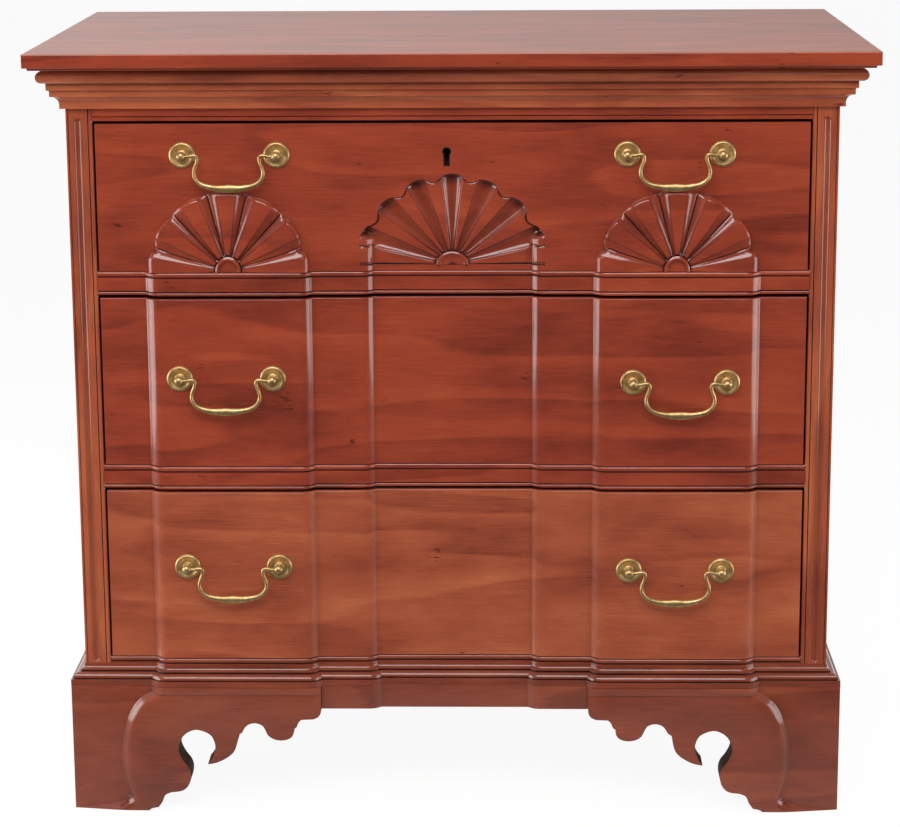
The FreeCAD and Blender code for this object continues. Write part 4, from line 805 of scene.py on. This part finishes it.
def ray_depth(angle, r, hub, rim):
    """Depth of the middle shell below the flat, as a negative height: hollow rays between flat
    ridges, in a bowl that sinks to the level of the panel below."""
    if r <= hub * HUB_EDGE:
        return hub_height(r / hub, ground=-6.0, ring=-4.2)
    turn = math.radians(angle)
    level = min(angle, 180 - angle)  # degrees from level
    off = off_ray(angle, RAY_PITCH)
    share, t = (r - hub) / (rim - hub), r / rim
    bowl = BOWL_EDGE + BOWL_FALL * (1 - t * t * math.sqrt(abs(math.sin(turn))))
    hollow = 0.0
    if off < RAY_HOLLOW:
        across = math.cos(math.pi / 2 * off / RAY_HOLLOW) ** 0.55
        hollow = HOLLOW_DEPTH * (0.25 + 0.75 * share) * across
        if rim - r < CUP and level > LOWEST:
            hollow *= math.sqrt(max(0.0, 1 - (1 - (rim - r) / CUP) ** 2.4))
    depth = bowl + hollow
    x = r * math.cos(turn)
    if abs(x) > STEP_END - RECESS_RUN:  # the lowest rays die into the panel's ogee
        depth += (min(depth, recess_fall(x)) - depth) * smooth((22 - level) / 5)
    away = math.radians(abs(off - RAY_HOLLOW) * RAY_PITCH) * r  # from a ridge's side
    crease = max(0.0, 1 - away / CREASE_HALF)
    foot = max(0.0, 1 - level / 1.2)
    depth += CREASE_DEPTH * max(crease, foot)
    if level > LOWEST:
        depth += LINE_DEPTH * max(0.0, 1 - abs(rim - r - LINE_HALF) / LINE_HALF)
    depth += 1.2 * smooth(1 - (r - hub) / (0.12 * hub))
    return -depth


# the fan's square ends, under its lowest rays: height, and how much deeper each is cut there
END_ROWS = [(626, 0), (627.6, 1.4), (629.2, 0), (638, 0), (646.4, 0), (648, 1.5), (649.6, 0),
            (655, 0), (657, -0.5), (658.6, -2), (659.6, -4.5), (660, -7)]
END_SLOPE = [(-80.0, FACE + 4.8), (-73.0, FACE + 3.0), (-66.0, FACE + 0.4)]  # up to the rays
TOOL_FRONT = FACE - 20  # plane to which the carving tools reach


def top_drawer_front():
    """The flat top front with the middle shell carved into it."""
    node = "drawer_top_front"
    thing = copy_of(node, "top_drawer_front")
    # fills the plainer carving of the solid
    carve(thing, block((-108, FACE, 620.8), (108, FACE + 17, 733.0)), "UNION")
    columns = fan_columns(RAY_PITCH, RAY_STATIONS)
    fan = shell_sheet(FAN_CENTRE, columns, RAY_HUB, ray_rim, ray_depth)
    carve(thing, slab("tool", fan, TOOL_FRONT))
    places = [-STEP_END - 0.02] + [x for x, *_ in RECESS_OGEE]
    half = [(x, FACE + recess_fall(x)) for x in places]
    panel = half + [(-x, y) for x, y in reversed(half)]
    under = [[(x, y, 618.0), (x, y, FAN_CENTRE[1] + 0.05)] for x, y in panel]
    carve(thing, slab("tool", under, TOOL_FRONT))
    for side in (LEFT, RIGHT):
        ends = [[(side * x, max(FACE - 0.05, y + (deeper if y > FACE else 0)), z)
                 for z, deeper in END_ROWS] for x, y in half + END_SLOPE]
        carve(thing, slab("tool", ends, TOOL_FRONT))
    levelled(thing, crease=32, plane=FACE)
    stand_for(thing, node)


top_drawer_front()


# ---------------- the handles

HANDLES = {
    # drawer: place of each handle across, the plane it is fixed to, and the heights of the
    # left and right axes
    "top": (242.0, FACE, 749.5, 749.5),
    "middle": (250.0, FACE - BLOCK_RISE, 502.0, 497.5),
    "bottom": (247.0, FACE - BLOCK_RISE, 285.7, 281.7),
}
POST_HALF = 51.5  # half the span of a handle's two posts
STANDOFF = 12.0  # axis of the bail in front of the wood
# lathe profiles: radius, distance forward of the wood
ROSETTE = [(14.5, 0), (14.6, 0.8), (14.2, 1.9), (13.4, 2.9), (12.4, 3.4), (11.4, 3.2), (10.4, 2.5),
           (9.2, 1.9), (7.6, 1.6), (5.6, 1.5), (5.2, 2.0), (4.4, 2.3), (3.0, 2.3)]
POST = [(3.4, 1.0), (3.9, 1.6), (3.9, 2.6), (3.2, 3.4), (2.9, 5.0), (3.2, 7.0), (4.2, 8.8),
        (4.8, 10.4), (5.0, 12.0), (4.8, 13.6), (4.1, 15.0), (2.9, 16.1), (1.5, 16.6), (0.4, 16.7)]
# half of a bail from its pin to the middle of the grip: across from the middle, below the axis,
# half its height there
BAIL = [(50.5, 0.0, 1.5), (46.0, 0.0, 1.6), (42.5, 0.1, 1.9), (38.6, 0.9, 2.2), (35.2, 0.4, 2.3),
        (33.7, -2.6, 2.1), (34.4, -7.0, 1.9), (36.4, -12.0, 1.9), (37.6, -17.6, 2.0),
        (36.4, -23.6, 2.2), (32.0, -28.9, 2.5), (24.8, -32.5, 2.9), (13.5, -34.8, 3.6),
        (5.0, -35.3, 4.3), (0.0, -35.3, 4.6)]
BAIL_STEPS = 4  # rings from one point of the bail to the next


def between(a, b, c, d, t):
    """A point on the smooth curve through b and c."""
    return [0.5 * (2 * q + (r - p) * t + (2 * p - 5 * q + 4 * r - s) * t * t
                   + (3 * q - p - 3 * r + s) * t ** 3) for p, q, r, s in zip(a, b, c, d)]


def rod(path, sides=14):
    """A bmesh rod along a path of points, each with half a width and half a depth."""
    shape = bmesh.new()
    rings = []
    for i, (place, half, depth) in enumerate(path):
        way = (path[min(i + 1, len(path) - 1)][0] - path[max(i - 1, 0)][0]).normalized()
        across = way.cross(Vector((0, 1, 0))).normalized()
        forward = across.cross(way)
        ring = []
        for k in range(sides):
            turn = 2 * math.pi * k / sides
            ring.append(shape.verts.new(MM * (place + across * half * math.cos(turn)
                                              + forward * depth * math.sin(turn))))
        rings.append(ring)
    tube(shape, rings)
    return shape


def bail(name, node, centre):
    """A swan-necked drop handle that swells at the grip, where it is higher than it is deep."""
    whole = BAIL + [(-x, z, half) for x, z, half in reversed(BAIL[:-1])]
    path = [whole[0]]
    for i in range(1, len(whole) - 2):
        path += [between(*whole[i - 1:i + 3], step / BAIL_STEPS) for step in range(BAIL_STEPS)]
    path += whole[-2:]
    middle = Vector(centre)
    places = [(middle + Vector((x, 0, z)), half, min(2.5, 0.9 * half + 0.35))
              for x, z, half in path]
    stand_for(made_from(rod(places), name), node)


for level, (across, face, left_height, right_height) in HANDLES.items():
    rosettes, posts = [], []
    for side, word, height in ((LEFT, "left", left_height), (RIGHT, "right", right_height)):
        middle = side * across
        bail(f"{level}_{word}_bail", f"bail_{level}_{word}", (middle, face - STANDOFF, height))
        for post in (LEFT, RIGHT):
            centre = (middle + post * POST_HALF, face, height)
            rosettes.append(turned("rosette", centre, ROSETTE))
            posts.append(turned("post", centre, POST, steps=28))
    stand_for(joined(f"{level}_rosettes", *rosettes), f"rosettes_{level}")
    stand_for(joined(f"{level}_posts", *posts), f"posts_{level}")


# ---------------- the front feet

FOOT_OUT = 14.4  # foot faces in front of the case
FOOT_THICK = 22
FOOT_BACK = FACE - FOOT_OUT + FOOT_THICK
FOOT_CORNER = -434.0  # outer corner of the left foot, mitred to its side face
FOOT_EDGE = [
    # smooth runs between corners, from the bracket's inner end down to the floor: across, height
    [(-150.5, 122.5), (-151.2, 117.0), (-154.2, 112.5), (-159.5, 109.9)],
    [(-159.5, 109.9), (-173.2, 109.3)],
    [(-173.2, 109.3), (-176.4, 105.8), (-178.5, 100.5)],
    [(-178.5, 100.5), (-181.7, 98.2)],
    [(-181.7, 98.2), (-182.3, 92.2), (-186.5, 87.0), (-195.3, 84.6), (-204.4, 86.0),
     (-211.0, 90.5), (-214.5, 97.6), (-217.9, 102.5), (-224.7, 105.0), (-231.5, 104.1),
     (-236.7, 100.4), (-240.5, 93.8)],
    [(-240.5, 93.8), (-245.2, 90.8)],
    [(-245.2, 90.8), (-246.8, 79.9), (-250.5, 70.6), (-258.5, 63.6), (-269.5, 58.0),
     (-280.2, 55.8)],
    [(-280.2, 55.8), (-275.2, 62.8), (-272.0, 71.5), (-271.8, 81.0), (-277.1, 91.4),
     (-291.0, 97.1), (-301.5, 94.4), (-307.8, 89.2)],
    [(-307.8, 89.2), (-312.4, 80.6), (-313.2, 71.2), (-308.6, 60.8), (-302.0, 51.5),
     (-299.9, 41.5), (-302.6, 30.8), (-310.0, 24.0), (-322.8, 21.9)],
    [(-322.8, 21.9), (-329.6, 18.6), (-333.3, 10.5), (-337.9, 4.0)],
    [(-337.9, 4.0), (-345.4, 2.4), (-348.4, 0.0)],
]
FOOT_RIDGE = [(-312.0, 156.0), (-324.0, 145.0), (-338.4, 136.5), (-351.0, 128.4), (-359.8, 117.8),
              (-365.9, 103.6), (-370.2, 85.5), (-372.0, 68.0), (-371.6, 50.2), (-369.6, 34.0),
              (-366.0, 21.5), (-365.0, 14.3), (-369.5, 7.5), (-378.0, 3.0), (-386.0, 1.0),
              (-394.0, -1.5)]
RIDGE_HALF = 7.0  # half the width of the ridge's slope
RIDGE_LINES = (-7.0, -6.0, -4.8, -3.4, -1.8, 0.0, 1.8, 3.6, 5.4, 7.0)


def rounded(points, steps=4):
    """A smooth line through points."""
    ends = [points[0]] + points + [points[-1]]
    line = []
    for i in range(len(points) - 1):
        line += [between(*ends[i:i + 4], step / steps) for step in range(steps)]
    return line + [list(points[-1])]


RIDGE = rounded(FOOT_RIDGE, 3)
FOOT_STEP = ogee(2 * RIDGE_HALF, BLOCK_RISE)


def past_ridge(x, z):
    """Signed distance from the ridge line, positive on the blocked side."""
    best, sign = 1e9, 1
    for (x0, z0), (x1, z1) in zip(RIDGE, RIDGE[1:]):
        dx, dz = x1 - x0, z1 - z0
        share = min(1, max(0, ((x - x0) * dx + (z - z0) * dz) / (dx * dx + dz * dz)))
        px, pz = x - x0 - share * dx, z - z0 - share * dz
        far = math.hypot(px, pz)
        if far < best - 1e-9:
            best, sign = far, 1 if dx * pz - dz * px > 0 else -1
    return sign * best


def foot_rise(x, z):
    """How far a foot's face stands forward: not at all outside the ridge, and blocked inside."""
    return up_step(FOOT_STEP, past_ridge(x, z) + RIDGE_HALF)


def foot_face():
    """Outline and ridge lines of the left front foot, as points, edges and the outline's loop."""
    outline = []
    for run in FOOT_EDGE:
        outline += rounded(run)[:-1] if len(run) > 2 else run[:1]
    outline += [FOOT_EDGE[-1][-1], (-365.0, 0.0), (FOOT_CORNER, 0.0), (FOOT_CORNER, BASE_LOW),
                (BRACKET_END, BASE_LOW)]
    points = [Vector(point) for point in outline]
    edges = []
    for off in RIDGE_LINES:
        start = len(points)
        for i, (x, z) in enumerate(RIDGE):
            ahead, behind = RIDGE[min(i + 1, len(RIDGE) - 1)], RIDGE[max(i - 1, 0)]
            way = Vector((ahead[0] - behind[0], ahead[1] - behind[1])).normalized()
            points.append(Vector((x - way.y * off, z + way.x * off)))
        edges += [(i, i + 1) for i in range(start, len(points) - 1)]
    return points, edges, list(range(len(outline)))


def front_foot(side):
    """The blocked face of a front foot, sawn to its scrolls, with its ridge and its mitred end."""
    points, edges, loop = foot_face()
    flat, _, triangles, *_ = delaunay_2d_cdt(points, edges, [loop], 1, 1e-4)
    shape = bmesh.new()
    near = [shape.verts.new(metres(x, FACE - FOOT_OUT - foot_rise(x, z), z)) for x, z in flat]
    far = [shape.verts.new(metres(x + FOOT_THICK if x < FOOT_CORNER + 0.1 else x, FOOT_BACK, z))
           for x, z in flat]
    for corners in triangles:
        shape.faces.new([near[i] for i in corners])
        shape.faces.new([far[i] for i in reversed(corners)])
    rim = [edge for edge in shape.edges if len(edge.link_faces) == 1]
    pair = dict(zip(near, far))
    for edge in rim:
        one, two = edge.verts
        if one in pair:
            shape.faces.new((one, two, pair[two], pair[one]))
    bmesh.ops.recalc_face_normals(shape, faces=shape.faces)
    fronts = set(near)
    arrises = [edge for edge in shape.edges
               if set(edge.verts) <= fronts and edge.calc_face_angle(0) > 0.7
               and max(vert.co.x for vert in edge.verts) > MM * (FOOT_CORNER + 1)
               and min(vert.co.z for vert in edge.verts) < MM * (BASE_LOW - 0.5)]
    rubbed(shape, arrises, ARRIS, segments=2)
    if side == RIGHT:
        for vert in shape.verts:
            vert.co.x = -vert.co.x
    return made_from(shape, "foot")


BAND = [(13.0, 138.6), (15.0, 138.7), (15.4, 139.3), (15.4, 147.4), (13.0, 147.4)]


def foot_band(side):
    """The flat fillet between the moulding and the blocked part of a foot."""
    plan = OUTER_OGEE + [(BRACKET_END, BLOCK_RISE, 0)]
    return swept("band", [(-side * x, up, -side * spread) for x, up, spread in plan], BAND)


CLAWS = [
    # small cut claws on the toe: start and end, across and height
    ((-383.0, 2.5), (-371.5, 9.5)), ((-379.0, 5.5), (-368.5, 13.5)),
    ((-375.5, 9.5), (-367.0, 17.5)), ((-376.5, 1.8), (-367.5, 6.0)),
]


def claw(side, start, end):
    """A short bent ridge on the toe, thickest in the middle."""
    middle = ((start[0] + end[0]) / 2 - 0.8, (start[1] + end[1]) / 2 + 0.8)
    path = []
    for (x, z), half in ((start, 0.5), (middle, 1.3), (end, 0.6)):
        path.append((Vector((-side * x, FACE - FOOT_OUT - foot_rise(x, z), z)), half, half))
    return made_from(rod(path, sides=8), "claw")


for side, word in ((LEFT, "left"), (RIGHT, "right")):
    claws = [claw(side, start, end) for start, end in CLAWS]
    foot = joined(f"{word}_front_foot", front_foot(side), foot_band(side), *claws)
    stand_for(foot, f"foot_front_{word}")
    foot.data.materials.append(SAWN_IN_SHADE)
    for face in foot.data.polygons:  # the sawn scrolls, painted dark as their shade: not front or back, end or band
        across, _, height = face.center
        if abs(face.normal.y) < 0.3 and abs(across) < 425 * MM and height < 138 * MM:
            face.material_index = 1


# ---------------- the room


def room():
    """White all round for the camera, and a dim even light on the wood. Gloss sees it darker
    towards the front and the right, where a studio has no lamps."""
    world = bpy.data.worlds.new("studio")
    bpy.context.scene.world = world
    world.use_nodes = True
    tree = world.node_tree
    tree.nodes.clear()
    way = add(tree, "SeparateXYZ", None, {0: add(tree, "TexCoord").outputs["Generated"]})
    behind = add(tree, "MapRange",
                 {"From Min": -0.85, "From Max": 0.1, "To Min": 0.03, "To Max": 0.95},
                 {"Value": way.outputs["Y"]}).outputs[0]
    left = add(tree, "MapRange",
               {"From Min": -0.25, "From Max": 0.35, "To Min": 1.0, "To Max": 0.45},
               {"Value": way.outputs["X"]}).outputs[0]
    seen_in_gloss = add(tree, "Math", {"operation": "MULTIPLY"}, {0: behind, 1: left}).outputs[0]
    path = add(tree, "LightPath")
    gloss = add(tree, "Math", {"operation": "MAXIMUM"}, {
        0: path.outputs["Is Glossy Ray"], 1: path.outputs["Is Transmission Ray"]}).outputs[0]
    indoors = add(tree, "Mix", {"data_type": "FLOAT", 2: 0.32},
                  {0: gloss, 3: seen_in_gloss}).outputs[0]
    strength = add(tree, "Mix", {"data_type": "FLOAT", 3: 1.0},
                   {0: path.outputs["Is Camera Ray"], 2: indoors}).outputs[0]
    background = add(tree, "Background", None, {"Strength": strength})
    add(tree, "OutputWorld", None, {0: background.outputs[0]})


def floor():
    """A white painted floor that keeps a soft shadow, and that gloss sees darker in front."""
    made, tree, shader = material("white_painted_floor")
    shader.inputs["Base Color"].default_value = colour("#CFCDCA")
    shader.inputs["Roughness"].default_value = 0.7
    path = add(tree, "LightPath")
    ahead = add(tree, "SeparateXYZ", None, {0: add(tree, "TexCoord").outputs["Object"]})
    near = add(tree, "MapRange", {"From Min": -0.7, "From Max": 0.2, "To Min": 0.04, "To Max": 0.9},
               {"Value": ahead.outputs["Y"]}).outputs[0]
    share = add(tree, "Math", {"operation": "MULTIPLY_ADD", 1: 0.82},
                {0: path.outputs["Is Camera Ray"], 2: path.outputs["Is Glossy Ray"]}).outputs[0]
    strength = add(tree, "Mix", {"data_type": "FLOAT", 2: 1.12},
                   {0: path.outputs["Is Glossy Ray"], 3: near}).outputs[0]
    white = add(tree, "Emission", None, {"Strength": strength})
    mixed = add(tree, "MixShader", None, {0: share, 1: shader.outputs[0], 2: white.outputs[0]})
    output = next(node for node in tree.nodes if node.type == "OUTPUT_MATERIAL")
    tree.links.new(mixed.outputs[0], output.inputs[0])
    mesh = bpy.data.meshes.new("floor")
    reach = 60.0
    corners = [(-reach, -reach, 0), (reach, -reach, 0), (reach, reach, 0), (-reach, reach, 0)]
    mesh.from_pydata(corners, [], [(0, 1, 2, 3)])
    mesh.materials.append(made)
    plane = placed("floor", mesh)


def softbox(name, place, aim, size, watts):
    """A large soft lamp that faces a point."""
    data = bpy.data.lights.new(name, "AREA")
    data.shape = "RECTANGLE"
    data.size, data.size_y = size
    data.energy = watts
    lamp = placed(name, data)
    lamp.location = place
    lamp.rotation_euler = (Vector(aim) - Vector(place)).to_track_quat("-Z", "Y").to_euler()


def camera():
    """A long lens a little over 3 m away, just right of the middle and above the top."""
    data = bpy.data.cameras.new("camera")
    data.sensor_width = 36
    data.lens = 104.0
    data.shift_y = -0.08
    yaw, pitch, roll = -0.02378, 0.21266, -0.006105  # radians: turned left, down and over
    ahead = Vector((math.sin(yaw) * math.cos(pitch), math.cos(yaw) * math.cos(pitch),
                    -math.sin(pitch)))
    level = Vector((math.cos(yaw), -math.sin(yaw), 0))
    upward = level.cross(ahead)
    right = math.cos(roll) * level + math.sin(roll) * upward
    up = -math.sin(roll) * level + math.cos(roll) * upward
    turn = Matrix((right, up, -ahead)).transposed().to_4x4()
    eye = placed("camera", data)
    eye.matrix_world = Matrix.Translation((0.0636, -3.0149, 1.1465)) @ turn
    bpy.context.scene.camera = eye


room()
floor()
softbox("wall_left", (-1.9, -0.1, 0.5), (0, -0.1, 0.5), (2.6, 0.95), 34)
softbox("wall_right", (1.9, -0.1, 0.5), (0, -0.1, 0.5), (2.6, 0.95), 27)
softbox("lamp_above", (-0.3, -2.2, 2.4), (0, 0, 0.55), (2.4, 1.2), 60)
camera()
bpy.context.scene.view_settings.view_transform = "Standard"
